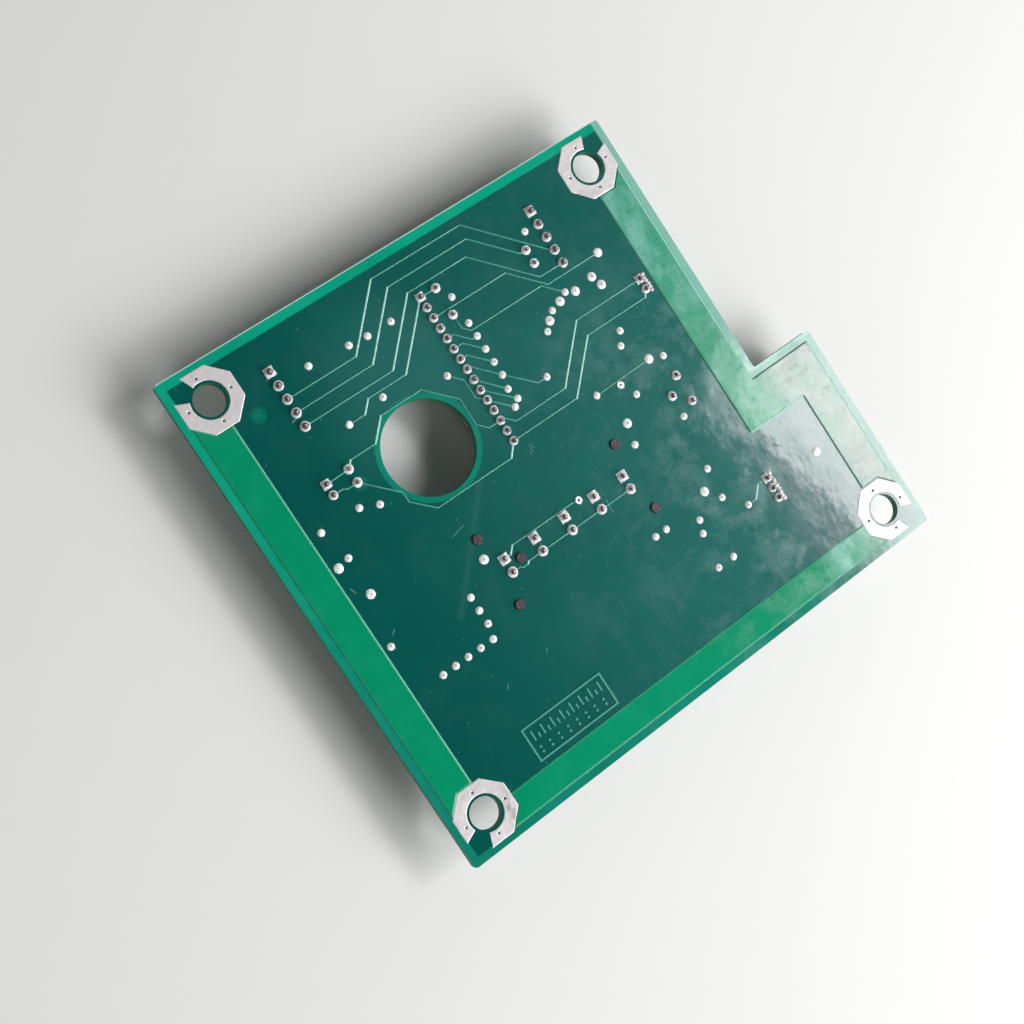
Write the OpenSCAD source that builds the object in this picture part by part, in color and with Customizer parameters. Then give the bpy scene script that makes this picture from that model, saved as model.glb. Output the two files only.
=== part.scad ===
// Relay board: a two-layer circuit board that passes signals between its plug headers.
// It lies solder side up and rests on its tallest components.
// Places on the board are measured from the lower left corner of its outline, with Y
// towards the upper edge. Heights are measured from the surface that the board rests on.

/* [Board] */
// Length of the board along X
board_l = 102.6; // [100:0.2:108]
// Width of the board along Y
board_w = 91; // [90:0.2:98]
// Thickness of the laminate
board_t = 1.6; // [0.8:0.1:2.4]
// Length of the upper part, left of the notch
upper_l = 89.6; // [88:0.2:94]
// Height of the notch's lower edge above the lower edge of the board
step_y = 40.2; // [38:0.2:46]
// Radius of the outer corners
corner_r = 0.6; // [0.2:0.1:1.2]
// Radius of the corner of the lower right tab
tab_r = 1; // [0.3:0.1:2]
// Radius inside the notch
notch_r = 0.5; // [0.2:0.1:1.2]

/* [Mounting holes] */
// Diameter of the four mounting holes
hole_d = 5.4; // [4:0.1:6]
// Distance of each hole centre from its two board edges
hole_inset = 6.3; // [5.8:0.1:6.8]
// Width of the octagonal pads across their flats
pad_flats = 10.4; // [9.6:0.1:11]
// Diameter of the bare ring inside each octagonal pad
pad_open_d = 6.3; // [6.1:0.1:6.8]
// Angle of the gap in each octagonal pad
pad_gap = 45; // [20:5:60]
// Bore of the open vias in the octagonal pads
pad_via_d = 0.45; // [0.3:0.05:0.55]
// Radius of the circle that the open vias stand on
pad_via_ring = 3.9; // [3.8:0.05:4.3]

/* [Window] */
// Place of the window's centre along X
window_x = 31.95; // [31:0.05:33]
// Place of the window's centre along Y
window_y = 59.75; // [59:0.05:60.5]
// Diameter of the window
window_d = 16.2; // [14:0.1:17]
// Width of the ring without copper round the window
window_halo = 0.95; // [0.6:0.05:1.5]

/* [Copper] */
// Thickness of each copper layer
copper_t = 0.1; // [0.05:0.01:0.2]
// Width of the border without copper
band_w = 1.4; // [1:0.1:2]
// Width of the border without copper along the upper edge
band_top = 1.7; // [1:0.1:2]
// Width of the lines
trace_w = 0.3; // [0.2:0.02:0.4]
// Gap between the component side copper and what passes it
copper_gap = 0.35; // [0.2:0.05:0.5]
// Distance of the left strip's inner edge from the left edge
left_strip = 7.2; // [6:0.1:8]
// Distance of the lower strip's inner edge from the lower edge
lower_strip = 6.4; // [5.6:0.1:8]
// Distance of the right strip's inner edge from the right edge of the tab
right_strip = 7.9; // [6.5:0.1:9]
// Distance of the tab strip's inner edge below the notch
tab_strip = 9.2; // [7:0.1:10]
// Distance of the upper strip's inner edge from the right edge of the upper part
upper_strip = 7.5; // [6:0.1:8.5]

/* [Fine pitch headers] */
// Pin pitch of the fine headers
fine_pitch = 2; // [1.95:0.01:2.05]
// Side of the square pins of the fine headers
fine_pin = 0.5; // [0.4:0.02:0.54]
// Height of the fine headers' housings
fine_h = 6; // [5:0.1:7]
// Width of the fine headers' housings
fine_w = 4.5; // [4.2:0.1:4.5]
// Distance from the outer pin to the end of a fine housing
fine_end = 1.95; // [1.8:0.05:2.2]
// Wall of the fine housings
fine_wall = 0.6; // [0.5:0.05:0.8]
// Pad diameter of the fine headers
fine_pad = 1.55; // [1.4:0.05:1.7]

/* [Wide pitch headers] */
// Pin pitch of the wide headers
wide_pitch = 2.54; // [2.5:0.01:2.6]
// Side of the square pins of the wide headers
wide_pin = 0.64; // [0.5:0.02:0.66]
// Height of the tallest components, on which the board rests
tall_h = 7; // [7:0.1:9]
// Width of the wide headers' housings
wide_w = 5.75; // [5.5:0.05:6]
// Distance from the outer pin to the end of a wide housing
wide_end = 2.45; // [2.2:0.05:2.8]
// Wall of the wide housings
wide_wall = 0.8; // [0.6:0.05:1]
// Pad diameter of the wide headers
wide_pad = 1.75; // [1.6:0.05:2]

/* [Indicator row] */
// Spacing of the indicator lamps
led_pitch = 6.35; // [6.2:0.05:6.5]
// Diameter of a lamp's lens
led_d = 3; // [2.6:0.1:3.2]
// Length of a lamp, from its seat to its tip
led_h = 5.3; // [4.5:0.1:5.4]
// Thickness of the lamp holder's base plate
holder_base = 1.5; // [1.2:0.1:1.6]
// Diameter of the lamp holder's pegs
peg_d = 1.7; // [1.4:0.05:2]
// Play of the pegs in the laminate
peg_play = 0.1; // [0.05:0.05:0.3]
// Pad diameter of the lamp leads
led_pad = 1.8; // [1.5:0.05:1.85]
// Side of the square lamp leads
led_lead = 0.5; // [0.4:0.02:0.54]

/* [Soldering] */
// Height that the solder climbs above the board
fill_h = 0.75; // [0.5:0.05:1]
// Length of lead that stands out of the board
lead_out = 1.2; // [1:0.1:2]
// Play between a lead's corners and its drilled hole
drill_play = 0.1; // [0.05:0.01:0.15]
// Width of the copper ring on the component side
land_rim = 0.3; // [0.15:0.05:0.4]
// Pad diameter of the loose component leads and test points
lead_pad = 1.65; // [1.4:0.05:1.8]
// Diameter of the solder dome on a filled via
via_pad = 1.3; // [1:0.05:1.4]
// Drill of the filled vias
via_drill = 0.6; // [0.3:0.05:0.8]
// Height of the solder domes
dome_h = 0.3; // [0.15:0.05:0.4]
// Bore left open in the unfilled vias
open_bore = 0.4; // [0.2:0.05:0.5]

/* [Hidden] */
$fn = 32;

// Heights of the faces, from the resting surface up
seat_z = tall_h;                 // seat of the component housings
lam_z = seat_z + copper_t;       // component face of the laminate
top_z = lam_z + board_t;         // solder face of the laminate
pad_z = top_z + copper_t;        // top of the solder side copper
past = 1;                        // how far a cutting tool runs past a face

// Lines that the pieces keep their distance from
strip_x = upper_l - upper_strip;         // inner edge of the upper strip
tab_x = board_l - right_strip;           // inner edge of the tab's strip

// Sizes of the small parts
barrel_wall = 0.1;
open_rise = 0.18;                        // height of the tinned ring of an open via
corner_dark = hole_inset - 1.2;
spot_d = 2.5;
housing_floor = 1.6;
slot_w = 1;
tip_depth = 0.8;
well_d = 4.2;
well_mouth = 5.6;
flange_d = 3.8;
flange_h = 1;
peg_proud = 0.25;
wire_d = 0.5;
leg_w = 0.45;
can_d = 5;
can_h = 6.4;
can_wall = 0.25;
can_round = 0.4;
bung_h = 1.2;
bung_lip = 0.3;
disc_d = 4.6;
disc_t = 2.2;
disc_lift = 1.2;
box_size = [2.5, 7.2];
box_h = 6.5;
foot_h = 0.4;
body_d = 4.8;
body_flat = 1.3;
body_h = 4.4;
leg_lift = 2.2;
chip_size = [1.25, 2];
chip_h = 0.5;
chip_end = 0.35;
chip_land = [1.4, 2.8];
chip_land_l = 0.9;

// Marking box, with a row of tick marks above a row of paired dots
mark_at = [18.5, 7.4];
mark_size = [16.65, 6.15];
mark_line = [0.35, 0.3];
tick_count = 15;
tick_w = 0.3;
tick_h = 1.8;
tick_step = 1;
tick_y = 3.35;
dot_count = 8;
dot_d = 0.45;
dot_step = 1.9;
dot_rows = [1.2, 2.1];
mark_margin = 1.2;

// Mounting holes: centre and the direction of the board corner
corners = [
    [[hole_inset, hole_inset], 225],
    [[hole_inset, board_w - hole_inset], 135],
    [[upper_l - hole_inset, board_w - hole_inset], 45],
    [[board_l - hole_inset, hole_inset], 315]];
window_r = window_d / 2;
window = [window_x, window_y];

// Pin rows run down the board from pin 1
main_count = 15;
wide_count = 5;
function row(first, pitch, n) = first - [0, pitch * (n - 1)];
function rows(first, pitch, count) = [for (n = [1:count]) row(first, pitch, n)];
function shifted(from, offsets) = [for (offset = offsets) from + offset];
main_at = [44.8, 81];
wide_margin = 7.5;                       // from pin 1 of the wide headers to the upper edge
strip_margin = 12.4;                     // from the right header to the right strip
left_at = [16.7, board_w - wide_margin];
right_at = [strip_x - strip_margin, board_w - wide_margin];
function main(n) = row(main_at, fine_pitch, n);
function left(n) = row(left_at, wide_pitch, n);
function right(n) = row(right_at, wide_pitch, n);
left_pair_at = [14.3, left(wide_count).y - 9.54];
right_pair_at = [strip_x - 2, 63.95];
triple_at = [tab_x - 14.65, 23.2];
pair_low = row(right_pair_at, fine_pitch, 2);

// Housings reach this far from the pin row on their narrow side
fine_narrow = 1.7;
wide_narrow = 2.35;

// Lamps: square pad above, round pad below
led_at = [32.2, 37.85];
led_count = 5;
lead_pitch = 2.54;
peg_margin = 4;                          // from the outer lamps to the pegs, both ends together
peg_rows = 12.7;
holder_rim = [3.6, 3.3];
key_shift = [2.55, -1.4];
function led(n) = led_at + [led_pitch * (n - 1), 0];
function led_low(n) = led(n) - [0, lead_pitch];
leds_high = [for (n = [1:led_count]) led(n)];
leds_low = [for (n = [1:led_count]) led_low(n)];
holder_mid = (led(1) + led_low(led_count)) / 2;
peg_span = [led_pitch * (led_count - 1) + peg_margin, peg_rows];
pegs = [for (sx = [-1, 1], sy = [-1, 1])
    holder_mid + [sx * peg_span.x / 2, sy * peg_span.y / 2]];
key_peg = led(1) + key_shift;
holder_size = peg_span + holder_rim;

// Loose components: the places of their leads
can_shift = [4.45, -1.15];
can_pitch = 2.52;
can_mid = left_pair_at + can_shift;
can_leads = [can_mid + [0, can_pitch / 2], can_mid - [0, can_pitch / 2]];
disc_shift = [-4.5, -6.4];
disc_mid = right_at + disc_shift;
disc_pins = [disc_mid + [0, lead_pitch / 2], disc_mid - [0, lead_pitch / 2]];
box_pitch = 5.15;
box_shift = [3.15, -0.05];
box_pins = [main_at + box_shift, main_at + box_shift - [0, box_pitch]];
box_mid = (box_pins[0] + box_pins[1]) / 2;
leg_spread = [0.9, -1.8, 0.9];
transistor_mid = [strip_x - 6.9, 44.2];
transistor_pins = [for (i = [0:2]) transistor_mid + [leg_spread[i], lead_pitch * (1 - i)]];
resistor_rise = 9.6;
resistors = [for (n = [1:led_count]) led(n) + [0, resistor_rise]];

// Filled vias, in groups that belong together
via_pitch = 2.54;
column_shift = [4.7, -7.75];
function column(k) = main_at + column_shift - [0, via_pitch * k];
tail_shifts = [[11.15, -8.25], [4.15, -4.35], [4.7, -4.55], [3.5, -3.5]];
tails = [for (i = [0:3]) main(8 + i) + tail_shifts[i]];
beside_main = concat([for (k = [-2, 0, 1, 2, 3, 4]) column(k)], tails);
window_vias = [[-9.05, 10.05], [9.35, 8.1], [-1.85, 10.85], [-12.1, -3.25], [-15.25, -1.9]];
round_window = shifted(window, window_vias);
above_window = round_window[0];
beside_window = round_window[1];
upper_left = [[22.6, 81.1], [30.1, 80.5], [33.6, 80.2], [38.3, 80.2]];
left_edge = [[9.3, 57.9], [10.7, 52.2], [8.5, 36.8]];
right_header_vias = [[-2.8, 7.76], [-9.2, -8.34], [-6.4, -5.84]];
link_shift = [-2.6, -4.39];
link_via = right(wide_count) + link_shift;
strip_vias = [[-10.3, 58.4], [-11.7, 56.2], [-6, 50.8], [-14.1, 47.9], [-8.9, 40.2],
    [-19.4, 41], [-20.4, 51.5]];
beside_strip = shifted([strip_x, 0], strip_vias);
stub_via = beside_strip[6];
lamp_via_shift = [3.8, 0.9];
lamp_via = led(3) + lamp_via_shift;
triple_via_shift = [-5.6, -1.9];
triple_via = triple_at + triple_via_shift;
lower_right = [[59.1, 26.2], [56.75, 26.2], [71.6, 30.5], [71, 25], [65.2, 24.1],
    [64.35, 21.9], [66.8, 15.6], [63.4, 15.6]];
test_corner = [23.2, 28.25];
column_step = 0.7;
test_row = [for (k = [0:4]) test_corner - [via_pitch * k, 0]];
test_column = [for (k = [1:3]) test_corner + [column_step, via_pitch * k]];
vias = concat(beside_main, round_window, upper_left, left_edge,
    shifted(right(wide_count), right_header_vias), beside_strip, [link_via, triple_via],
    lower_right, test_row, test_column);

// Vias left open
open_shift = [-15.7, 50.7];
opened = [lamp_via, [strip_x, 0] + open_shift];

// Test points: larger solder-filled holes
line_end_shift = [6.5, -1.74];
line_end = right(wide_count) + line_end_shift;
stub_end = [strip_x - 8.6, 51.7];
right_header_tests = [[3.1, -4.64], [3.85, -6.64], [-0.9, -5.19], [-4.3, -5.24], [-7.8, -7.04]];
test_places = [[29.3, 39.7], [8.5, 51.7], [10.5, 45.5], [68.8, 27.6]];
strip_test = [-18.45, 44.7];
tab_test = [-3.6, 21.8];
tests = concat([line_end, stub_end, [strip_x, 0] + strip_test, [tab_x, 0] + tab_test],
    shifted(right(wide_count), right_header_tests), test_places);

// Round clearings in the component side copper
spots = [[11.4, 78.65], can_leads[1] + [0.35, -0.35]];

// Lines on the solder side. A bus line leaves a pin level, climbs at 45 degrees,
// runs level and comes down at 45 degrees to its other end.
function bus(a, b, run, top, tail) = [a, [a.x + run, a.y], [a.x + run + top - a.y, top],
    [b.x - tail - (top - b.y), top], [b.x - tail, b.y], b];
// A line that leaves level and ends in a 45 degree run down to the right
function drop(a, b) = [a, [b.x - (a.y - b.y), a.y], b];
over_window = window_y + window_r + 0.45;
under_window = window_y - window_r - 0.8;
right_window = window_x + window_r + 0.85;
left_window = window_x - window_r + 0.25;
top_line = left_at.y + 4.2;
line_gap = 2.5;
bus_runs = [13.4, 15, 17.3];
bus_tails = [0.3, 1.17, 4.94];
main_fall = 9.3;
line_end_run = 16.4;                     // level run into the lowest test point of the header
pair_runs = [14.05, 13.8, 21.7];         // from the right pair back to the bends of its lines
fall_y = main(1).y - main_fall;
pair_y = main(13).y - 1.5;
routes = [
    // Three lines that pass over the main header from left to right
    bus(left(3), right(4), bus_runs[0], top_line, bus_tails[0]),
    bus(left(4), disc_pins[0], bus_runs[1], top_line - line_gap, bus_tails[1]),
    bus(left(5), right(5), bus_runs[2], top_line - 2 * line_gap, bus_tails[2]),
    // Lines from the upper pins of the main header
    [main(1), main(1) - [main_fall, main_fall],
        [above_window.x + 3.1 + fall_y - above_window.y, fall_y],
        above_window + [3.1, 0], above_window],
    [main(1), box_pins[0]],
    [main(3), [line_end.x - line_end_run, main(3).y],
        [line_end.x - line_end_run + main(3).y - line_end.y, line_end.y], line_end],
    [box_pins[1], box_pins[1] - [0, 2.6], box_pins[1] + [1.2, -3.8],
        [link_via.x - 3.1, box_pins[1].y - 3.8], link_via],
    [main(5), main(5) + [1.35, 0], column(1) - [1.1, 0], column(1)],
    drop(main(6), column(2)),
    drop(main(7), column(3)),
    [main(8), main(8) + [0.9, 0], column(4) + [-2.95, 2.95], column(4)],
    [column(4), tails[0] + [-1.9, 0], tails[0]],
    for (i = [1:3]) [main(8 + i), tails[i]],
    [beside_window, beside_window + [2, -2], [beside_window.x + 2, main(11).y + 1.4],
        main(11)],
    // The pair that runs round the window from the can to the right pair
    [main(13), [right_window + 1.6, main(13).y], [right_window, main(13).y + 1.6],
        [right_window, over_window - 4.7], [right_window - 4.7, over_window],
        [window_x - 3.85, over_window], [window_x - 7.15, over_window - 3.3],
        [can_leads[0].x + 1.1, over_window - 3.3], can_leads[0]],
    [main(13), main(13) + [0.8, 0], [main(13).x + 2.3, pair_y],
        [right_pair_at.x - pair_runs[0] - (right_pair_at.y - pair_y), pair_y],
        [right_pair_at.x - pair_runs[0], right_pair_at.y], right_pair_at],
    [main(15), [right_pair_at.x - pair_runs[2], main(15).y],
        [right_pair_at.x - pair_runs[1], pair_low.y - 1.15], pair_low - [0.9, 1.15], pair_low],
    [main(15), [main(15).x - 2, under_window], [window_x - 4.35, under_window],
        [left_window, under_window + 3.4], [left_window, under_window + 5.25],
        can_leads[1]],
    [can_leads[1], can_leads[1] - [2, 0], row(left_pair_at, fine_pitch, 2) + [1.9, 0],
        row(left_pair_at, fine_pitch, 2)],
    [can_leads[0], left_pair_at],
    // Short links
    [stub_end, stub_via],
    [lamp_via, lamp_via + [-1.2, 0.25], led(1) + [2.5, 1.15], led(1) + [1.35, 0], led(1)],
    [led_low(1), led_low(1) + [1.6, 0], led_low(1) + [1.95, -0.35],
        led_low(1) + [3, -0.35], led_low(1) + [3.35, 0], led_low(led_count)],
    [triple_at, triple_at - [1.95, 0], triple_via + [1.75, 0], triple_via]];

// Lines on the component side: each resistor's lower land feeds its lamp, the upper
// lands run to the main header, and short lines join the via groups
function land_mid(n, s) = resistors[n - 1] + [0, s * (chip_land.y - chip_land_l) / 2];
feed_rise = [1.2, 1, 1.6];
feed_y = land_mid(1, 1).y + feed_rise[0];
feed_x = main(12).x - 2.2;
column_rise = 2.3;
back_routes = concat(
    [for (n = [1:led_count]) [land_mid(n, -1), led(n)]],
    [for (n = [4:led_count], from = [land_mid(n, 1) + [0, feed_rise[n - 3]]],
        to = [main(19 - n)])
        [land_mid(n, 1), from, [from.x - (to.y - from.y), to.y], to]],
    [[land_mid(1, 1), [led(1).x, feed_y], [led(3).x, feed_y], land_mid(3, 1)],
    [land_mid(2, 1), [led(2).x, feed_y]],
    [[feed_x, feed_y], [feed_x, main(12).y - main(12).x + feed_x], main(12)],
    [column(0), column(0) + [column_rise, column_rise],
        [column(0).x + column_rise, right(1).y - column_rise],
        [column(0).x + 2 * column_rise, right(1).y], right(1)],
    [upper_left[0], upper_left[0] - [2.6, upper_left[0].y - left(2).y], left(2)],
    [upper_left[1], upper_left[1] + [0, 1.5], upper_left[1] + [-1.5, 3], left(1)],
    [left_edge[1], left_edge[1] + [0, 3.25], left_edge[1] + [2.4, 5.65], round_window[4]],
    [left_edge[2], test_places[2] - [2, 2], test_places[2]],
    [test_places[1], left_edge[0] - [0.8, 0.8], left_edge[0]],
    [beside_strip[0], beside_strip[1]], [lower_right[6], lower_right[7]],
    [lower_right[3], lower_right[2] - [0.6, 0.6], lower_right[2]],
    [test_places[3], lower_right[4]], [lower_right[0], lower_right[1]]]);

// Outline of a line of the given width along its points, with mitred bends
function along(p, i) = let (d = p[i + 1] - p[i]) d / norm(d);
function left_of(d) = [-d.y, d.x];
function side(p, i) =
    i == 0 ? left_of(along(p, 0)) :
    i == len(p) - 1 ? left_of(along(p, i - 1)) :
    let (a = left_of(along(p, i - 1)), b = left_of(along(p, i))) (a + b) / (1 + a * b);
function ribbon(p, w) = concat(
    [for (i = [0:len(p) - 1]) p[i] + side(p, i) * w / 2],
    [for (i = [len(p) - 1:-1:0]) p[i] - side(p, i) * w / 2]);

// Drilled hole for a square lead, and for a round lead of the given width
function drill_r(w, round_lead = false) = (round_lead ? w : w * sqrt(2)) / 2 + drill_play;

module place() { translate([-board_l / 2, -board_w / 2, 0]) children(); }
module at(points) { for (p = points) translate([p.x, p.y, 0]) children(); }
module slab(z, t) { translate([0, 0, z]) linear_extrude(t) children(); }
module box(from, to) { translate(from) cube(to - from); }

// A rectangle with its lower left corner at the origin and round corners
module round_rect(size, r) {
    translate([r, 0]) square([size.x - 2 * r, size.y]);
    translate([0, r]) square([size.x, size.y - 2 * r]);
    for (x = [r, size.x - r], y = [r, size.y - r]) translate([x, y]) circle(r);
}

// ---------------------------------------------------------------- board and copper

module outline_2d() {
    round_rect([upper_l, board_w], corner_r);
    difference() {
        square([board_l, step_y]);
        translate([board_l - tab_r, step_y - tab_r]) difference() {
            square(tab_r + past);
            circle(tab_r);
        }
        for (x = [0, board_l]) translate([x, 0]) rotate(x == 0 ? 0 : 90)
            translate([-past, -past]) difference() {
                square(corner_r + past);
                translate([corner_r + past, corner_r + past]) circle(corner_r);
            }
    }
    translate([upper_l, step_y]) difference() {
        square(notch_r);
        translate([notch_r, notch_r]) circle(notch_r);
    }
}

// The board's outline less its border, with sharp corners
module inner_2d(inset, top) {
    translate([inset, inset]) square([upper_l - 2 * inset, board_w - inset - top]);
    translate([inset, inset]) square([board_l, step_y] - 2 * [inset, inset]);
}

module octagon_2d(grow = 0) {
    for (c = corners) translate(c[0]) rotate(180 / 8)
        circle((pad_flats / 2 + grow) / cos(180 / 8), $fn = 8);
}

module wedge_2d(direction, reach) {
    rotate(direction) polygon([[0, 0], reach * [1, tan(pad_gap / 2)],
        reach * [1, -tan(pad_gap / 2)]]);
}

module pad_vias_2d(d) {
    for (c = corners, a = [0:90:270]) translate(c[0]) rotate(a)
        translate([pad_via_ring, 0]) circle(d = d);
}

// Drilled holes for every lead, via and peg
module drills_2d(grow = 0) {
    at(rows(main_at, fine_pitch, main_count)) circle(drill_r(fine_pin) + grow);
    for (first = [left_at, right_at])
        at(rows(first, wide_pitch, wide_count)) circle(drill_r(wide_pin) + grow);
    for (first = [left_pair_at, right_pair_at])
        at(rows(first, fine_pitch, 2)) circle(drill_r(fine_pin) + grow);
    at(rows(triple_at, fine_pitch, 3)) circle(drill_r(fine_pin) + grow);
    at(concat(leds_high, leds_low)) circle(drill_r(led_lead) + grow);
    at(concat(can_leads, disc_pins, box_pins)) circle(drill_r(wire_d, true) + grow);
    at(transistor_pins) circle(drill_r(leg_w) + grow);
    at(concat(vias, opened, tests)) circle(d = via_drill + 2 * grow);
}

module peg_holes_2d(grow = 0) {
    at(concat(pegs, [key_peg])) circle(d = peg_d + peg_play + 2 * grow);
}

// Pads on the solder side; pin 1 of each row has a square one
module pads_2d() {
    at(rows(main_at, fine_pitch, main_count)) circle(d = fine_pad);
    at(concat(rows(left_at, wide_pitch, wide_count), rows(right_at, wide_pitch, wide_count)))
        circle(d = wide_pad);
    for (first = [left_pair_at, right_pair_at]) at(rows(first, fine_pitch, 2))
        circle(d = fine_pad);
    at(rows(triple_at, fine_pitch, 3)) circle(d = fine_pad);
    at([main_at, left_pair_at, right_pair_at, triple_at]) square(fine_pad, center = true);
    at([left_at, right_at]) square(wide_pad, center = true);
    at(leds_high) square(led_pad, center = true);
    at(leds_low) circle(d = led_pad);
    at(concat(can_leads, disc_pins, box_pins, transistor_pins, tests)) circle(d = lead_pad);
    at([transistor_pins[0]]) square(lead_pad, center = true);
    at(concat(vias, opened)) circle(d = via_pad);
}

module laminate() {
    color("seagreen") place() slab(lam_z, board_t) difference() {
        outline_2d();
        for (c = corners) translate(c[0]) circle(d = hole_d);
        translate(window) circle(window_r, $fn = 64);
        drills_2d();
        peg_holes_2d();
        pad_vias_2d(pad_via_d + 2 * barrel_wall);
    }
}

// A strip of copper down the left side, along the lower edge and up the right side
module border_strip() {
    inner = corner_dark;
    color("mediumseagreen") place() slab(top_z, copper_t) difference() {
        union() {
            translate([band_w, band_w])
                square([left_strip - band_w, board_w - hole_inset - band_w]);
            translate([band_w, band_w]) square([board_l - 2 * band_w, lower_strip - band_w]);
            translate([board_l - right_strip, band_w])
                square([right_strip - band_w, step_y - 2 * band_w]);
            translate([upper_l - upper_strip, step_y - tab_strip])
                square([board_l - upper_l + upper_strip - band_w, tab_strip - band_w]);
            translate([upper_l - upper_strip, step_y - tab_strip])
                square([upper_strip - band_w, board_w - hole_inset - step_y + tab_strip]);
        }
        octagon_2d();
        translate([0, 0]) square(inner);
        translate([board_l - inner, 0]) square(inner);
    }
}

module traces() {
    color("palegreen") place() slab(top_z, copper_t) difference() {
        for (r = routes) polygon(ribbon(r, trace_w));
        pads_2d();
    }
}

// Copper on the component side, cleared round everything that passes it
module component_pour() {
    color("darkgreen") place() slab(seat_z, copper_t) difference() {
        inner_2d(band_w, band_top);
        octagon_2d(copper_gap);
        translate(window) circle(window_r + window_halo, $fn = 64);
        drills_2d(land_rim + copper_gap);
        peg_holes_2d(copper_gap);
        at(spots) circle(d = spot_d);
        for (r = back_routes) polygon(ribbon(r, trace_w + 2 * copper_gap));
        at(resistors) square(chip_land + 2 * [copper_gap, copper_gap], center = true);
    }
}

module component_lines() {
    color("mediumseagreen") place() slab(seat_z, copper_t) difference() {
        for (r = back_routes) polygon(ribbon(r, trace_w));
        drills_2d(land_rim);
        at(resistors) square(chip_land, center = true);
    }
}

// Tinned octagonal rings on both faces, joined by the plated bores of their vias
module corner_pads() {
    color("gainsboro") place() difference() {
        union() {
            for (z = [seat_z, top_z]) slab(z, copper_t) difference() {
                octagon_2d();
                for (c = corners) translate(c[0]) {
                    circle(d = pad_open_d);
                    wedge_2d(c[1], pad_flats);
                }
            }
            slab(lam_z, board_t) pad_vias_2d(pad_via_d + 2 * barrel_wall);
        }
        slab(seat_z - past, board_t + 2 * (copper_t + past)) pad_vias_2d(pad_via_d);
    }
}

// Outline of the marking box and the plain marks in it
module etched_frame() {
    color("palegreen") place() slab(top_z, copper_t) translate(mark_at) {
        difference() {
            square(mark_size);
            translate(mark_line) square(mark_size - 2 * mark_line);
        }
        for (n = [0:tick_count - 1])
            translate([mark_margin + n * tick_step, tick_y])
                square([tick_w, n % 2 == 0 ? tick_h : tick_h / 2]);
        for (n = [0:dot_count - 1], y = dot_rows)
            translate([mark_margin + dot_d / 2 + n * dot_step, y]) circle(d = dot_d);
    }
}

// ---------------------------------------------------------------- solder

// Plug of solder through a hole, with a dome on the solder side
module plug(pad_d) {
    dome_r = (pow(pad_d / 2, 2) + pow(dome_h, 2)) / (2 * dome_h);
    rotate_extrude() {
        translate([0, seat_z]) square([via_drill / 2 + land_rim, copper_t]);
        translate([0, lam_z]) square([via_drill / 2, board_t]);
        intersection() {
            translate([0, top_z]) square([pad_d / 2, dome_h]);
            translate([0, top_z + dome_h - dome_r]) circle(dome_r, $fn = 96);
        }
    }
}

module filled_vias() {
    color("white") place() at(vias) plug(via_pad);
}

// Plated vias that the solder left open
module open_vias() {
    color("white") place() at(opened) rotate_extrude() for (part = [
            [seat_z, copper_t, via_drill / 2 + land_rim], [lam_z, board_t, via_drill / 2],
            [top_z, open_rise, via_pad / 2]])
        translate([open_bore / 2, part[0]]) square([part[2] - open_bore / 2, part[1]]);
}

module test_points() {
    color("white") place() at(tests) plug(lead_pad);
}

module lead_2d(w, round_lead) {
    if (round_lead) circle(d = w);
    else square(w, center = true);
}

// Solder round a lead: a land below, a filled hole, a pad and a hollow cone above
module joint(pad_d, lead_w, round_lead = false, square_pad = false) {
    hole_r = drill_r(lead_w, round_lead);
    neck_r = hole_r;
    pad_r = pad_d / 2;
    steps = 5;
    cone = [for (i = [0:steps]) let (a = 90 * i / steps)
        [pad_r - (pad_r - neck_r) * sin(a), pad_z + (fill_h - copper_t) * (1 - cos(a))]];
    difference() {
        union() {
            rotate_extrude() polygon(concat([[0, seat_z], [hole_r + land_rim, seat_z],
                [hole_r + land_rim, lam_z], [hole_r, lam_z], [hole_r, top_z],
                [pad_r, top_z]], cone, [[0, top_z + fill_h]]));
            if (square_pad) slab(top_z, copper_t) square(pad_d, center = true);
        }
        slab(seat_z - past, board_t + fill_h + 2 * past) lead_2d(lead_w, round_lead);
    }
}

// Joints of a row: the first pad is square
module row_joints(points, pad_d, lead_w) {
    color("silver") place() for (i = [0:len(points) - 1]) at([points[i]])
        joint(pad_d, lead_w, square_pad = i == 0);
}

// ---------------------------------------------------------------- headers

// Square pin with chamfered ends
module pin(w, from_z, to_z) {
    tip = w / 4;
    outline = [[-w / 2 + tip, from_z], [w / 2 - tip, from_z], [w / 2, from_z + 2 * tip],
        [w / 2, to_z - 2 * tip], [w / 2 - tip, to_z], [-w / 2 + tip, to_z],
        [-w / 2, to_z - 2 * tip], [-w / 2, from_z + 2 * tip]];
    intersection() {
        rotate([90, 0, 0]) linear_extrude(w, center = true) polygon(outline);
        rotate([90, 0, 90]) linear_extrude(w, center = true) polygon(outline);
    }
}

// Pins of a header whose housing is the given height
module row_pins(points, w, h) {
    color("goldenrod") place() at(points) pin(w, seat_z - h + tip_depth, pad_z + lead_out);
}

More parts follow.
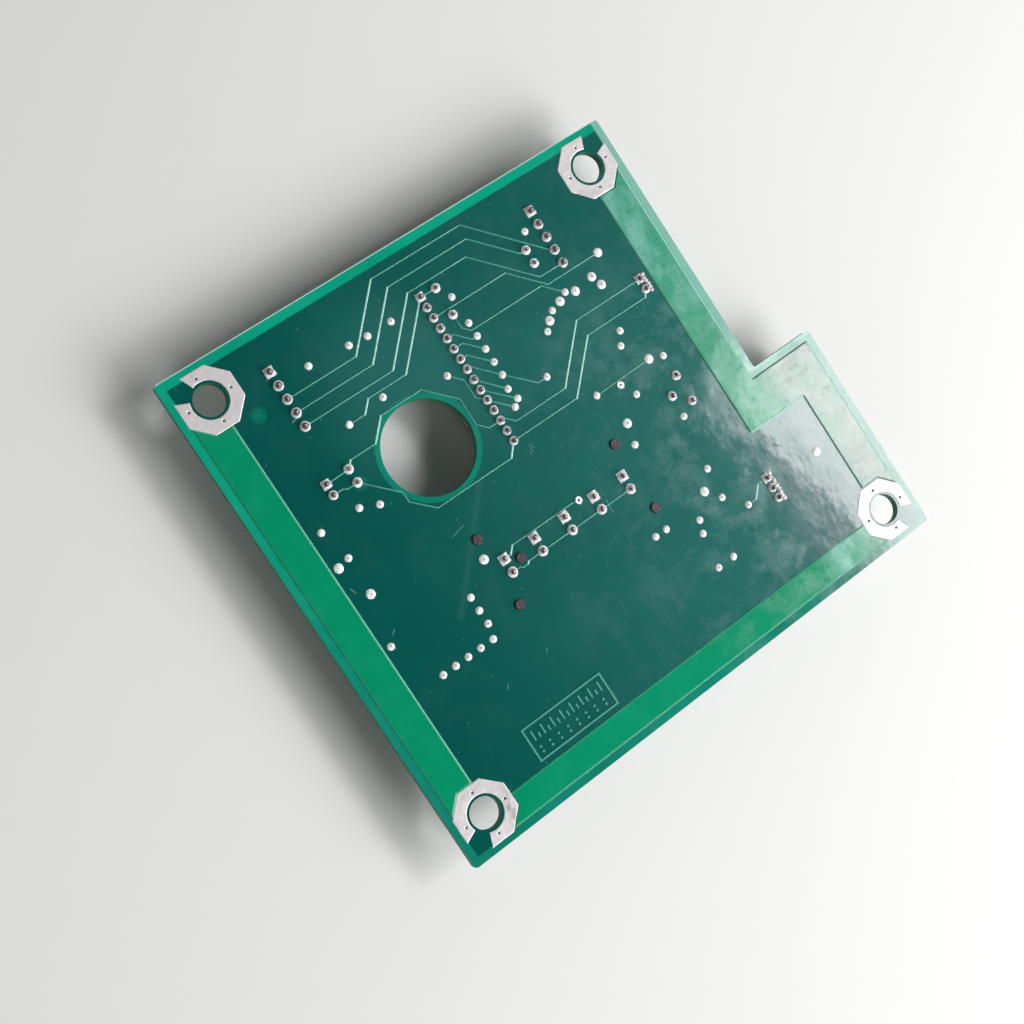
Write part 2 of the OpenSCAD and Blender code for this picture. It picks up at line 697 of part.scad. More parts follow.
// Open housing round a row of pins, mouth down, seated at seat_z.
// turn = 1 puts the wide side with its two key slots towards +X, -1 towards -X.
module housing(first, count, pitch, h, w, end, wall, narrow, pin_w, turn) {
    length = pitch * (count - 1) + 2 * end;
    mouth = seat_z - h;
    translate([first.x, first.y + end, 0]) mirror([turn > 0 ? 0 : 1, 0, 0]) difference() {
        box([-narrow, -length, mouth], [w - narrow, 0, seat_z]);
        box([wall - narrow, wall - length, mouth - past],
            [w - narrow - wall, -wall, seat_z - housing_floor]);
        for (y = [-end - slot_w / 2, end - length - slot_w / 2])
            box([w - narrow - wall - past, y, mouth - past],
                [w - narrow + past, y + slot_w, seat_z - housing_floor]);
        for (y = [-wall - past, -length - past])
            box([-slot_w / 2, y, mouth - past],
                [slot_w / 2, y + wall + 2 * past, mouth + h / 3]);
        for (n = [0:count - 1]) translate([0, -end - n * pitch, 0])
            slab(seat_z - housing_floor - past, housing_floor + 2 * past)
                square(pin_w, center = true);
    }
}

module fine_housing(first, count, turn) {
    color("ivory") place() housing(first, count, fine_pitch, fine_h, fine_w, fine_end,
        fine_wall, fine_narrow, fine_pin, turn);
}

module wide_housing(first, turn) {
    color("ivory") place() housing(first, wide_count, wide_pitch, tall_h, wide_w, wide_end,
        wide_wall, wide_narrow, wide_pin, turn);
}

module main_header_body() { fine_housing(main_at, main_count, -1); }
module main_header_pins() {
    row_pins(rows(main_at, fine_pitch, main_count), fine_pin, fine_h);
}
module main_header_joints() {
    row_joints(rows(main_at, fine_pitch, main_count), fine_pad, fine_pin);
}

module left_header_body() { wide_housing(left_at, -1); }
module left_header_pins() {
    row_pins(rows(left_at, wide_pitch, wide_count), wide_pin, tall_h);
}
module left_header_joints() {
    row_joints(rows(left_at, wide_pitch, wide_count), wide_pad, wide_pin);
}

module right_header_body() { wide_housing(right_at, 1); }
module right_header_pins() {
    row_pins(rows(right_at, wide_pitch, wide_count), wide_pin, tall_h);
}
module right_header_joints() {
    row_joints(rows(right_at, wide_pitch, wide_count), wide_pad, wide_pin);
}

module left_pair_body() { fine_housing(left_pair_at, 2, -1); }
module left_pair_pins() { row_pins(rows(left_pair_at, fine_pitch, 2), fine_pin, fine_h); }
module left_pair_joints() {
    row_joints(rows(left_pair_at, fine_pitch, 2), fine_pad, fine_pin);
}

module right_pair_body() { fine_housing(right_pair_at, 2, 1); }
module right_pair_pins() { row_pins(rows(right_pair_at, fine_pitch, 2), fine_pin, fine_h); }
module right_pair_joints() {
    row_joints(rows(right_pair_at, fine_pitch, 2), fine_pad, fine_pin);
}

module triple_body() { fine_housing(triple_at, 3, 1); }
module triple_pins() { row_pins(rows(triple_at, fine_pitch, 3), fine_pin, fine_h); }
module triple_joints() { row_joints(rows(triple_at, fine_pitch, 3), fine_pad, fine_pin); }

// ---------------------------------------------------------------- indicator lamps

// Black moulded holder: a base plate with pegs and a block with a light well per lamp
module lamp_holder() {
    well_z = seat_z - holder_base;
    block = [holder_size.x - 2, 9.4];
    color("dimgray") place() difference() {
        union() {
            slab(well_z, holder_base) translate(holder_mid - holder_size / 2)
                round_rect(holder_size, 1);
            slab(0, well_z) translate(holder_mid - block / 2) round_rect(block, 0.8);
            at(concat(pegs, [key_peg])) slab(seat_z, pad_z + peg_proud - seat_z)
                circle(d = peg_d);
        }
        for (n = [1:led_count]) at([(led(n) + led_low(n)) / 2]) {
            translate([0, 0, -past]) cylinder(d = well_d, h = well_z + past);
            translate([0, 0, -0.01]) cylinder(d1 = well_mouth, d2 = well_d, h = 2);
        }
        for (n = [1:led_count - 1], s = [-1, 1])
            translate([led(n).x + led_pitch / 2, holder_mid.y + s * block.y / 2, 0])
                box([-0.8, -1.6, -past], [0.8, 1.6, well_z]);
        at(concat(leds_high, leds_low)) slab(well_z - past, holder_base + 2 * past)
            square(led_lead, center = true);
    }
}

// A lamp with its flange on the holder's base and its dome facing down
module lamp_lenses() {
    base_z = seat_z - holder_base;
    r = led_d / 2;
    color("palegoldenrod") place()
        for (n = [1:led_count]) at([(led(n) + led_low(n)) / 2]) difference() {
            rotate_extrude() {
                translate([0, base_z - flange_h]) square([flange_d / 2, flange_h]);
                translate([0, base_z - led_h + r]) square([r, led_h - r]);
                intersection() {
                    translate([0, base_z - led_h]) square([r, r]);
                    translate([0, base_z - led_h + r]) circle(r);
                }
            }
            box([-flange_d, r + 0.1, 0], [flange_d, flange_d, seat_z]);
        }
}

module lamp_leads() {
    from_z = seat_z - holder_base;
    color("silver") place() at(concat(leds_high, leds_low))
        slab(from_z, pad_z + lead_out - from_z) square(led_lead, center = true);
}

module lamp_joints() {
    color("silver") place() {
        at(leds_high) joint(led_pad, led_lead, square_pad = true);
        at(leds_low) joint(led_pad, led_lead);
    }
}

// ---------------------------------------------------------------- loose components

module wires(points, depth) {
    color("silver") place() at(points) slab(seat_z - depth, pad_z + lead_out - seat_z + depth)
        circle(d = wire_d);
}

module wire_joints(points) {
    color("silver") place() at(points) joint(lead_pad, wire_d, round_lead = true);
}

// Drawn aluminium can with a rolled groove above its rubber bung
module capacitor_can() {
    r = can_d / 2;
    color("lightsteelblue") place() at([can_mid]) difference() {
        rotate_extrude() difference() {
            union() {
                translate([0, seat_z - can_h]) square([r - can_round, can_h - bung_lip]);
                translate([0, seat_z - can_h + can_round])
                    square([r, can_h - can_round - bung_lip]);
                translate([r - can_round, seat_z - can_h + can_round]) circle(can_round);
            }
            translate([0, seat_z - bung_h]) square([r - can_wall, bung_h]);
            translate([r + 0.15, seat_z - bung_h - 0.5]) circle(0.45);
        }
        for (a = [0, 90]) rotate(a)
            box([-r * 0.7, -0.1, 0], [r * 0.7, 0.1, seat_z - can_h + 0.15]);
    }
}

module capacitor_bung() {
    color("black") place() difference() {
        at([can_mid]) slab(seat_z - bung_h, bung_h) circle(can_d / 2 - can_wall);
        at(can_leads) slab(seat_z - bung_h - past, bung_h + 2 * past) circle(d = wire_d);
    }
}

module capacitor_leads() { wires(can_leads, bung_h); }
module capacitor_joints() { wire_joints(can_leads); }

// Dipped disc on edge, its coating running a little way down each lead
module disc_body() {
    mid_z = seat_z - disc_lift - disc_d / 2;
    half = disc_t / 2;
    color("chocolate") place() difference() {
        union() {
            translate([disc_mid.x, disc_mid.y, mid_z]) rotate([0, 90, 0]) rotate_extrude() {
                translate([0, -half]) square([disc_d / 2 - half, disc_t]);
                intersection() {
                    translate([disc_d / 2 - half, 0]) circle(half);
                    translate([0, -half]) square([disc_d, disc_t]);
                }
            }
            at(disc_pins) slab(mid_z, seat_z - 0.5 - mid_z) circle(d = wire_d + 0.5);
        }
        at(disc_pins) slab(mid_z, disc_d) circle(d = wire_d);
    }
}

module disc_leads() { wires(disc_pins, disc_lift + disc_d / 2); }
module disc_joints() { wire_joints(disc_pins); }

// Box of moulded plastic on four small feet
module box_body() {
    low = seat_z - box_h;
    color("goldenrod") place() translate([box_mid.x, box_mid.y, 0]) difference() {
        slab(low, box_h) translate(-box_size / 2) round_rect(box_size, 0.3);
        box([-box_size.x, 0.8 - box_size.y / 2, seat_z - foot_h],
            [box_size.x, box_size.y / 2 - 0.8, seat_z + past]);
        box([0.6 - box_size.x / 2, -box_size.y, seat_z - foot_h],
            [box_size.x / 2 - 0.6, box_size.y, seat_z + past]);
        at([for (p = box_pins) p - box_mid]) slab(seat_z - 2, 2 + past) circle(d = wire_d);
    }
}

module box_leads() { wires(box_pins, 2); }
module box_joints() { wire_joints(box_pins); }

// Three-legged moulded body with one flat side
module transistor_body() {
    color("dimgray") place() difference() {
        at([transistor_mid]) slab(seat_z - leg_lift - body_h, body_h) difference() {
            circle(d = body_d);
            translate([body_flat, -body_d]) square(2 * body_d);
        }
        for (i = [0:2]) leg(i);
    }
}

// One leg: straight down through the board, then bent in to the body
module leg(i) {
    foot = transistor_pins[i];
    root = transistor_mid + [0, lead_pitch / 2 * (1 - i)];
    run = root - foot;
    reach = norm(run);
    path = [[0, pad_z + lead_out], [0, seat_z - 0.5], [reach, seat_z - leg_lift + 0.3],
        [reach, seat_z - leg_lift - 0.8]];
    translate([foot.x, foot.y, 0]) rotate(atan2(run.y, run.x)) rotate([90, 0, 0])
        linear_extrude(leg_w, center = true) polygon(ribbon(path, leg_w));
}

module transistor_leads() { color("silver") place() for (i = [0:2]) leg(i); }

module transistor_joints() {
    color("silver") place() for (i = [0:2]) let (run = transistor_mid
            + [0, lead_pitch / 2 * (1 - i)] - transistor_pins[i])
        at([transistor_pins[i]]) rotate(atan2(run.y, run.x)) joint(lead_pad, leg_w);
}

// Chip resistors that feed the lamps, with their metal ends and copper lands
module resistor_chips() {
    color("black") place() at(resistors) slab(seat_z - chip_h, chip_h)
        square([chip_size.x, chip_size.y - 2 * chip_end], center = true);
}

module resistor_ends() {
    color("silver") place() at(resistors) for (s = [-1, 1])
        slab(seat_z - chip_h, chip_h) translate([0, s * (chip_size.y - chip_end) / 2])
            square([chip_size.x, chip_end], center = true);
}

module resistor_lands() {
    color("gold") place() at(resistors) for (s = [-1, 1])
        slab(seat_z, copper_t) translate([0, s * (chip_land.y - chip_land_l) / 2])
            square([chip_land.x, chip_land_l], center = true);
}

laminate();
border_strip();
traces();
component_pour();
corner_pads();
component_lines();
etched_frame();
filled_vias();
open_vias();
test_points();
main_header_body();
main_header_pins();
main_header_joints();
left_header_body();
left_header_pins();
left_header_joints();
right_header_body();
right_header_pins();
right_header_joints();
left_pair_body();
left_pair_pins();
left_pair_joints();
right_pair_body();
right_pair_pins();
right_pair_joints();
triple_body();
triple_pins();
triple_joints();
lamp_holder();
lamp_lenses();
lamp_leads();
lamp_joints();
capacitor_can();
capacitor_bung();
capacitor_leads();
capacitor_joints();
disc_body();
disc_leads();
disc_joints();
box_body();
box_leads();
box_joints();
transistor_body();
transistor_leads();
transistor_joints();
resistor_chips();
resistor_ends();
resistor_lands();
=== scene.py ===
"""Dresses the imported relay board: finishes for every piece, a floor, soft light and a camera."""

import math

import bmesh
import bpy
from bpy.props import FloatProperty, FloatVectorProperty, PointerProperty
from mathutils import Matrix, Vector, noise
from mathutils.kdtree import KDTree


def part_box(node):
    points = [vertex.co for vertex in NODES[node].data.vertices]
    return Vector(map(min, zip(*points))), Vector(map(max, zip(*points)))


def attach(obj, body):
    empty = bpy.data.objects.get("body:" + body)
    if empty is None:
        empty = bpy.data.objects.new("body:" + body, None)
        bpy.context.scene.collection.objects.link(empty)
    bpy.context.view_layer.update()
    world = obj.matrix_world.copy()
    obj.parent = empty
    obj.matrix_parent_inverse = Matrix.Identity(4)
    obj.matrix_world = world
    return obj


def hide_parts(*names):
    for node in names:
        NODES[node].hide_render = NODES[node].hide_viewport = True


bl_info = {
    "name": "Relay Board Dresser",
    "version": (1, 0, 0),
    "blender": (4, 5, 0),
    "location": "View3D > Sidebar > Relay Board",
    "description": "Finishes, stage and camera for a relay board lying solder side up",
    "category": "Object",
}

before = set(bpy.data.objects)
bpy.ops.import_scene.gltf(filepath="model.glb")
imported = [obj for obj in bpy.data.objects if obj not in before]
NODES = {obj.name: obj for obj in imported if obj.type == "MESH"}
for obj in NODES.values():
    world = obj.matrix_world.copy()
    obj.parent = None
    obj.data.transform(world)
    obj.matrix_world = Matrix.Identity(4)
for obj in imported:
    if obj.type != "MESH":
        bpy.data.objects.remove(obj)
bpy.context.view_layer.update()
MM = 0.001
BOARD_LOW, BOARD_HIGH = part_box("laminate")
MASK_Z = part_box("traces")[1].z       # top of the mask over the solder side's copper


# ------------------------------------------------------------------ shader tools

class Wire:
    """One output in a shader graph. Arithmetic on it adds the Math nodes."""

    def __init__(self, graph, socket):
        self.graph = graph
        self.socket = socket

    def maths(self, operation, *values):
        return self.graph.node("ShaderNodeMath", {"operation": operation},
                               dict(enumerate(values)))

    def __add__(self, other):
        return self.maths("ADD", self, other)

    def __sub__(self, other):
        return self.maths("SUBTRACT", self, other)

    def __rsub__(self, other):
        return self.maths("SUBTRACT", other, self)

    def __mul__(self, other):
        return self.maths("MULTIPLY", self, other)

    def __truediv__(self, other):
        return self.maths("DIVIDE", self, other)

    def __pow__(self, other):
        return self.maths("POWER", self, other)

    __radd__ = __add__
    __rmul__ = __mul__

    def least(self, other):
        return self.maths("MINIMUM", self, other)

    def most(self, other):
        return self.maths("MAXIMUM", self, other)

    def __neg__(self):
        return self.maths("MULTIPLY", self, -1.0)

    def size(self):
        return self.maths("ABSOLUTE", self)

    def held(self):
        """Clamped between 0 and 1."""
        return self.most(0.0).least(1.0)

    def step(self, start, end):
        """0 below start, 1 above end, smooth between."""
        return self.graph.node("ShaderNodeMapRange", {"interpolation_type": "SMOOTHSTEP"},
                               {"Value": self, "From Min": start, "From Max": end})


class Graph:
    """A material and the one place where its nodes are added."""

    def __init__(self, name, owner=None):
        self.material = owner or bpy.data.materials.new(name)
        self.material.use_nodes = True
        self.tree = self.material.node_tree
        self.shader = self.tree.nodes["Background" if owner else "Principled BSDF"]

    def node(self, kind, settings=None, inputs=None, output=0):
        """Adds a node, sets it up, fills its sockets and returns one of its outputs."""
        made = self.tree.nodes.new(kind)
        for name, value in (settings or {}).items():
            setattr(made, name, value)
        for name, value in (inputs or {}).items():
            self.feed(made.inputs[name], value)
        return Wire(self, made.outputs[output])

    def feed(self, socket, value):
        if isinstance(value, Wire):
            self.tree.links.new(value.socket, socket)
        elif hasattr(value, "__len__") and len(value) == 3 and len(socket.default_value) == 4:
            socket.default_value = (*value, 1.0)
        else:
            socket.default_value = value

    def place(self):
        """Place on the board in millimetres from its lower left corner, as three wires."""
        spot = self.node("ShaderNodeTexCoord", output="Object")
        moved = self.node("ShaderNodeVectorMath", {"operation": "MULTIPLY_ADD"},
                          {0: spot, 1: (1 / MM,) * 3,
                           2: (-BOARD_LOW.x / MM, -BOARD_LOW.y / MM, 0.0)})
        return [self.node("ShaderNodeSeparateXYZ", inputs={0: moved}, output=i)
                for i in range(3)]

    def above_mask(self):
        """Height over the top of the mask in millimetres."""
        return self.place()[2] - MASK_Z / MM

    def facing(self, axis=2):
        """The surface normal's share along one axis."""
        normal = self.node("ShaderNodeTexCoord", output="Normal")
        return self.node("ShaderNodeSeparateXYZ", inputs={0: normal}, output=axis)

    def scaled(self, size_mm, stretch=(1, 1, 1), seed=0.0):
        """The place in units of size_mm, moved by a seed."""
        spot = self.node("ShaderNodeTexCoord", output="Object")
        return self.node("ShaderNodeVectorMath", {"operation": "MULTIPLY_ADD"},
                         {0: spot, 1: [s / (MM * size_mm) for s in stretch],
                          2: (seed, seed * 0.7, seed * 1.3)})

    def noise(self, size_mm, detail=2.0, stretch=(1, 1, 1), rough=0.5, seed=0.0, bend=0.0):
        """Noise whose features are about size_mm across."""
        return self.node("ShaderNodeTexNoise", inputs={
            "Vector": self.scaled(size_mm, stretch, seed), "Scale": 1.0, "Detail": detail,
            "Roughness": rough, "Distortion": bend})

    def specks(self, apart_mm, radius_mm, seed=0.0):
        """Small round specks, 1 in their middle, about apart_mm from each other."""
        near = self.node("ShaderNodeTexVoronoi", {"voronoi_dimensions": "2D"}, {
            "Vector": self.scaled(apart_mm, seed=seed), "Scale": 1.0}, output="Distance")
        return 1.0 - near.step(0.4 * radius_mm / apart_mm, radius_mm / apart_mm)

    def mix(self, factor, first, second):
        """Blends two colours."""
        made = self.tree.nodes.new("ShaderNodeMix")
        made.data_type = "RGBA"
        self.feed(made.inputs[0], factor)
        self.feed(made.inputs[6], first)
        self.feed(made.inputs[7], second)
        return Wire(self, made.outputs[2])

    def bump(self, height, depth_mm):
        """A normal bent by a height wire, where a height of 1 stands for depth_mm."""
        return self.node("ShaderNodeBump", inputs={
            "Height": height, "Distance": depth_mm * MM, "Strength": 1.0})

    def finish(self, **sockets):
        """Feeds the main shader; base_color stands for Base Color, and so on."""
        for name, value in sockets.items():
            self.feed(self.shader.inputs[name.replace("_", " ").title()
                                         .replace("Ior", "IOR")], value)
        return self.material


def linear(red, green, blue):
    """A colour given as 0 to 255 display values, in linear light."""
    def one(v):
        v = v / 255
        return v / 12.92 if v <= 0.04045 else ((v + 0.055) / 1.055) ** 2.4
    return one(red), one(green), one(blue)


def darker(shade, share):
    """A shade at a share of its light."""
    return [part * share for part in shade]


def colour(name, shade, text):
    """A colour setting, given as 0 to 255 display values."""
    return FloatVectorProperty(name=name, description=text, default=linear(*shade),
                               subtype="COLOR", size=3, min=0.0, max=1.0)


# ------------------------------------------------------------------ settings

class BoardColours(bpy.types.PropertyGroup):
    """Colours of the laminate and the copper under its mask."""

    plane: colour("Over the plane", (4, 88, 81), "Mask where copper lies on the far side")
    clear: colour("Clear laminate", (9, 170, 136), "Mask with no copper on either side")
    strip: colour("Border strip", (2, 146, 104), "Mask over the wide border copper")
    line: colour("Lines", (82, 160, 144), "Mask over the thin lines")
    bright_line: colour("Bright lines", (176, 228, 218), "Mask over the lines that catch light")
    # Painted highlight: the pale shoulder stands for light on the copper edges that face it
    shoulder: colour("Pale shoulder", (150, 214, 190), "Thin mask on the lit edge of copper")
    edge: colour("Cut edge", (44, 126, 88), "Glass epoxy at cut edges")
    far_plane: colour("Far plane", (10, 122, 84), "Mask over the component side's plane")


class SolderColours(bpy.types.PropertyGroup):
    """Colours of the bare metal on the board."""

    tin: colour("Tinned pads", (226, 221, 222), "Hot-tinned copper of the corner pads")
    dome: colour("Solder domes", (252, 251, 252), "Solder in the filled vias")
    joint: colour("Solder joints", (248, 245, 247), "Solder round the pins")
    # Painted shade: the dark of the solder that climbs a pin
    neck_shade: colour("Joint necks", (92, 80, 88), "Solder that climbs a pin")
    pin: colour("Pins", (206, 186, 194), "Tinned pins and cut leads")


class PartColours(bpy.types.PropertyGroup):
    """Colours of the parts on the component side."""

    nylon: colour("Housings", (232, 226, 208), "Moulded plug housings")
    black: colour("Black mouldings", (24, 24, 26), "Lamp holder and transistor")
    lens: colour("Lamp lenses", (206, 216, 190), "Cast resin lamps")
    can: colour("Capacitor can", (176, 180, 188), "Drawn aluminium can")
    disc: colour("Disc coating", (176, 112, 48), "Dipped coating of the disc")
    box: colour("Box capacitor", (196, 152, 44), "Moulded box")
    ink: colour("Outline ink", (226, 228, 222), "Printed outlines under the parts")


class Relief(bpy.types.PropertyGroup):
    """Small forms that soften the plain solids."""

    shoulder: FloatProperty(name="Copper shoulder", default=0.3 * MM, unit="LENGTH",
                            description="Width over which the mask falls off a copper edge")
    rim: FloatProperty(name="Pad rim", default=0.14 * MM, unit="LENGTH",
                       description="Width of the round rim of the tinned pads")
    line: FloatProperty(name="Line width", default=0.25 * MM, unit="LENGTH",
                        description="Width of a line that shows plainly")
    bright_line: FloatProperty(name="Bright line width", default=0.36 * MM, unit="LENGTH",
                               description="Width of a line that catches light")
    lump: FloatProperty(name="Solder lumps", default=0.11 * MM, unit="LENGTH",
                        description="How far solder strays from its plain form")
    corner: FloatProperty(name="Moulded corners", default=0.14 * MM, unit="LENGTH",
                          description="Rounding of the corners of moulded parts")


class StageSettings(bpy.types.PropertyGroup):
    """Floor, lamps and camera."""

    lens: FloatProperty(name="Lens", description="Focal length on a 36 mm sensor",
                        default=56.9, unit="CAMERA")
    key_power: FloatProperty(name="Key lamp", description="Power of the broad key lamp",
                             default=7.7, unit="POWER")
    window_power: FloatProperty(name="Window lamp", description="Power of the lamp that the "
                                "board mirrors on its right", default=1.12, unit="POWER")
    zenith: FloatProperty(name="Sky overhead", default=0.03,
                          description="Strength of the sky straight above")
    horizon: FloatProperty(name="Sky at the horizon", default=0.95,
                           description="Strength that the sky gains down to the horizon")
    floor: colour("Floor", (236, 236, 234), "Plain pale floor")


# ------------------------------------------------------------------ mesh tools

WELD = 0.001 * MM
FLAT = 0.99                          # least share upwards in a top face's normal
UPRIGHT = 0.1                        # most share upwards in a wall's normal
COPLANAR = math.radians(1)

LUMP_RISE = 0.15 * MM                # height over which solder begins to stray
LUMP_UPWARD = 0.8                    # share of the stray that is kept up and down
FINE_LUMPS = (0.5, 2.3)              # share of the finer lumps, and how much finer they are
VIA_LUMP = 0.6 * MM                  # size of the lumps in vias, and in joints
JOINT_LUMP = 0.55 * MM
LUMP_SEED = 4                        # without it the lumps would follow the clock

MASK_DROP = 0.06 * MM                # fall of the mask at the rim of the border copper
TIN_DROP = 0.05 * MM                 # fall of the tin at a pad's rim
TOP_DEPTH = 0.05 * MM                # a top face lies no lower than this under the mask's top
SHOULDER_STEPS = ((0.5, 1.0), (0.5, 0.35))     # share of the width and of the fall

CORNER_ANGLE = math.radians(50)      # least angle of a corner that is rounded
CORNER_RUN = 2.5                     # least length of that corner, in widths of the rounding

TRACE_W = 0.3 * MM                   # width of the lines' copper
LEVEL = 0.1                          # most that two rims of a line stray, in its widths
OVERLAP = 0.5                        # least share of a rim that faces the other rim
CAP_ANGLES = (78, 52, 26, 0)         # rings of a ridge's round end, in degrees
RIB_STEPS = 8                        # faces across a ridge
LIT_SLANT = 0.2                      # least x times y in the direction of a run that shines
LIT_SHINE = 0.9

CRUST_R = 0.4 * MM                   # a lump of the crust: its radius, and how flat it lies
CRUST_FLAT = 0.55
CRUST_ROUGH = 0.28
CRUST_GAP = 0.62 * MM                # from lump to lump along a row
CRUST_SHIFT = (0.95 * MM, 0.15 * MM)           # from the middle of the row's lower end
CRUST_WANDER = (0.7 * MM, 0.16 * MM)           # size of the wander's waves, and its reach

INK_W = 0.2 * MM                     # printed outline: width, gap to its part, thickness
INK_GAP = 0.35 * MM
INK_T = 0.03 * MM


def welded(node):
    """A copy of a node's mesh with its split corners joined."""
    made = bmesh.new()
    made.from_mesh(NODES[node].data)
    bmesh.ops.remove_doubles(made, verts=made.verts, dist=WELD)
    return made


def merged(node):
    """A welded copy of a node's mesh whose flat neighbours are joined."""
    made = welded(node)
    bmesh.ops.dissolve_limit(made, angle_limit=COPLANAR, verts=made.verts, edges=made.edges)
    made.normal_update()
    return made


def stand_in(name, node, made, material, sharp=40.0):
    """Makes a piece of a mesh: it rides on the board, and stands for a node if one is given."""
    mesh = bpy.data.meshes.new(name)
    made.to_mesh(mesh)
    made.free()
    if "custom_normal" in mesh.attributes:
        mesh.attributes.remove(mesh.attributes["custom_normal"])
    for face in mesh.polygons:
        face.use_smooth = True
    mesh.set_sharp_from_angle(angle=math.radians(sharp))
    mesh.materials.clear()
    mesh.materials.append(material)
    piece = bpy.data.objects.new(name, mesh)
    bpy.context.scene.collection.objects.link(piece)
    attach(piece, "root")
    if node:
        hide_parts(node)
    return piece


def solids(node):
    """Lowest and highest corner of each separate solid of a node, from left to right."""
    made = welded(node)
    left = dict.fromkeys(made.verts)
    found = []
    while left:
        group = []
        waiting = [left.popitem()[0]]
        while waiting:
            vert = waiting.pop()
            group.append(vert.co.copy())
            for edge in vert.link_edges:
                other = edge.other_vert(vert)
                if other in left:
                    del left[other]
                    waiting.append(other)
        low = Vector([min(co[i] for co in group) for i in range(3)])
        high = Vector([max(co[i] for co in group) for i in range(3)])
        found.append((low, high))
    made.free()
    return sorted(found, key=lambda box: (box[0].x, box[0].y))


def stray(place, size, seed):
    """A repeatable small wander of a place, up to about 1 each way."""
    spot = place / size + Vector((seed, -seed, 2 * seed))
    return noise.noise_vector(spot)


def lumpy(name, node, amount, size, above, material, seed=0.0):
    """A node's round forms in solder that set unevenly above a given height."""
    made = welded(node)
    boxes = solids(node)
    middles = KDTree(len(boxes))
    for i, (low, high) in enumerate(boxes):
        middles.insert(((low + high) / 2).xy.to_3d(), i)
    middles.balance()
    share, finer = FINE_LUMPS
    layer = made.verts.layers.float.new("reach")
    for vert in made.verts:
        _, i, gap = middles.find(vert.co.xy.to_3d())
        low, high = boxes[i]
        vert[layer] = gap / (high.x - low.x) * 2
        over = min(max((vert.co.z - above) / LUMP_RISE, 0.0), 1.0)
        push = stray(vert.co, size, seed) + share * stray(vert.co, size / finer, seed + 5)
        push.z *= LUMP_UPWARD
        vert.co += push * amount * over
    return stand_in(name, node, made, material)


def top_faces(made, high):
    return [f for f in made.faces if f.normal.z > FLAT and f.calc_center_median().z > high]


def sloped(name, node, material, width, drop, high):
    """A node whose flat top falls off round its rim, as mask or tin does."""
    made = merged(node)
    for share, fall in SHOULDER_STEPS:
        top = top_faces(made, high)
        ring = bmesh.ops.inset_region(made, faces=top, thickness=width * share, depth=0,
                                      use_boundary=True, use_even_offset=True)["faces"]
        inner = {v for f in top for v in f.verts}
        for vert in {v for f in ring for v in f.verts} - inner:
            vert.co.z -= drop * fall
        made.normal_update()
    bmesh.ops.recalc_face_normals(made, faces=made.faces)
    return stand_in(name, node, made, material, sharp=4.0)


def softened(name, node, material, width):
    """A node with its outer corners rounded a little, as moulded parts have them."""
    made = merged(node)
    corners = [e for e in made.edges if len(e.link_faces) == 2
               and e.calc_face_angle(0) > CORNER_ANGLE and e.is_convex
               and e.calc_length() > CORNER_RUN * width]
    bmesh.ops.bevel(made, geom=corners, offset=width, segments=2, profile=0.5,
                    affect="EDGES", clamp_overlap=True)
    return stand_in(name, node, made, material, sharp=35.0)


def straight_runs(node, width):
    """Both ends of the middle of each straight run of the lines in a node."""
    made = merged(node)
    rims = []
    for edge in made.edges:
        tops = [f for f in edge.link_faces if f.normal.z > FLAT]
        walls = [f for f in edge.link_faces if abs(f.normal.z) < UPRIGHT]
        if tops and walls and edge.calc_length() > width:
            inward = walls[0].normal.xy * -width / 2
            rims.append(tuple(v.co.xy + inward for v in edge.verts))
    made.free()
    runs = []
    while rims:
        start, end = rims.pop(0)
        along = (end - start).normalized()
        for other in rims:
            ends = sorted(other, key=lambda place: (place - start).dot(along))
            level = all(abs((p - start).cross(along)) < LEVEL * width for p in ends)
            shared = min((ends[1] - start).dot(along), (end - start).length) - max(
                (ends[0] - start).dot(along), 0.0)
            if level and shared > OVERLAP * (ends[1] - ends[0]).length:
                start, end = (start + ends[0]) / 2, (end + ends[1]) / 2
                rims.remove(other)
                break
        runs.append((start, end))
    return runs


def ridge(made, layer, run, width, height, base, shine):
    """A half round bar with round ends along one straight run."""
    start, end = run
    along = (end - start).normalized()
    across = Vector((-along.y, along.x))
    turns = [math.radians(a) for a in CAP_ANGLES]
    stations = [(start - along * width / 2 * math.sin(t), math.cos(t)) for t in turns]
    stations += [(end + along * width / 2 * math.sin(t), math.cos(t)) for t in reversed(turns)]
    rings = []
    for middle, scale in stations:
        ring = []
        for step in range(RIB_STEPS + 1):
            turn = math.pi * step / RIB_STEPS
            flat = middle + across * (width / 2 * scale * math.cos(turn))
            vert = made.verts.new((flat.x, flat.y, base + height * scale * math.sin(turn)))
            vert[layer] = shine
            ring.append(vert)
        rings.append(ring)
    for one, two in zip(rings, rings[1:]):
        for step in range(RIB_STEPS):
            made.faces.new((one[step], one[step + 1], two[step + 1], two[step]))
        made.faces.new((one[-1], one[0], two[0], two[-1]))
    made.faces.new(reversed(rings[0]))
    made.faces.new(rings[-1])


def crust_over(made, place, radius, seed):
    """Adds a flat uneven lump that lies on the mask."""
    turn = Matrix.Translation(place) @ Matrix.Diagonal((1.0, 1.0, CRUST_FLAT, 1.0))
    lump = bmesh.ops.create_icosphere(made, subdivisions=3, radius=radius, matrix=turn)["verts"]
    for vert in lump:
        push = stray(vert.co, 0.5 * radius, seed) * CRUST_ROUGH * radius
        push.z *= CRUST_FLAT
        vert.co += push


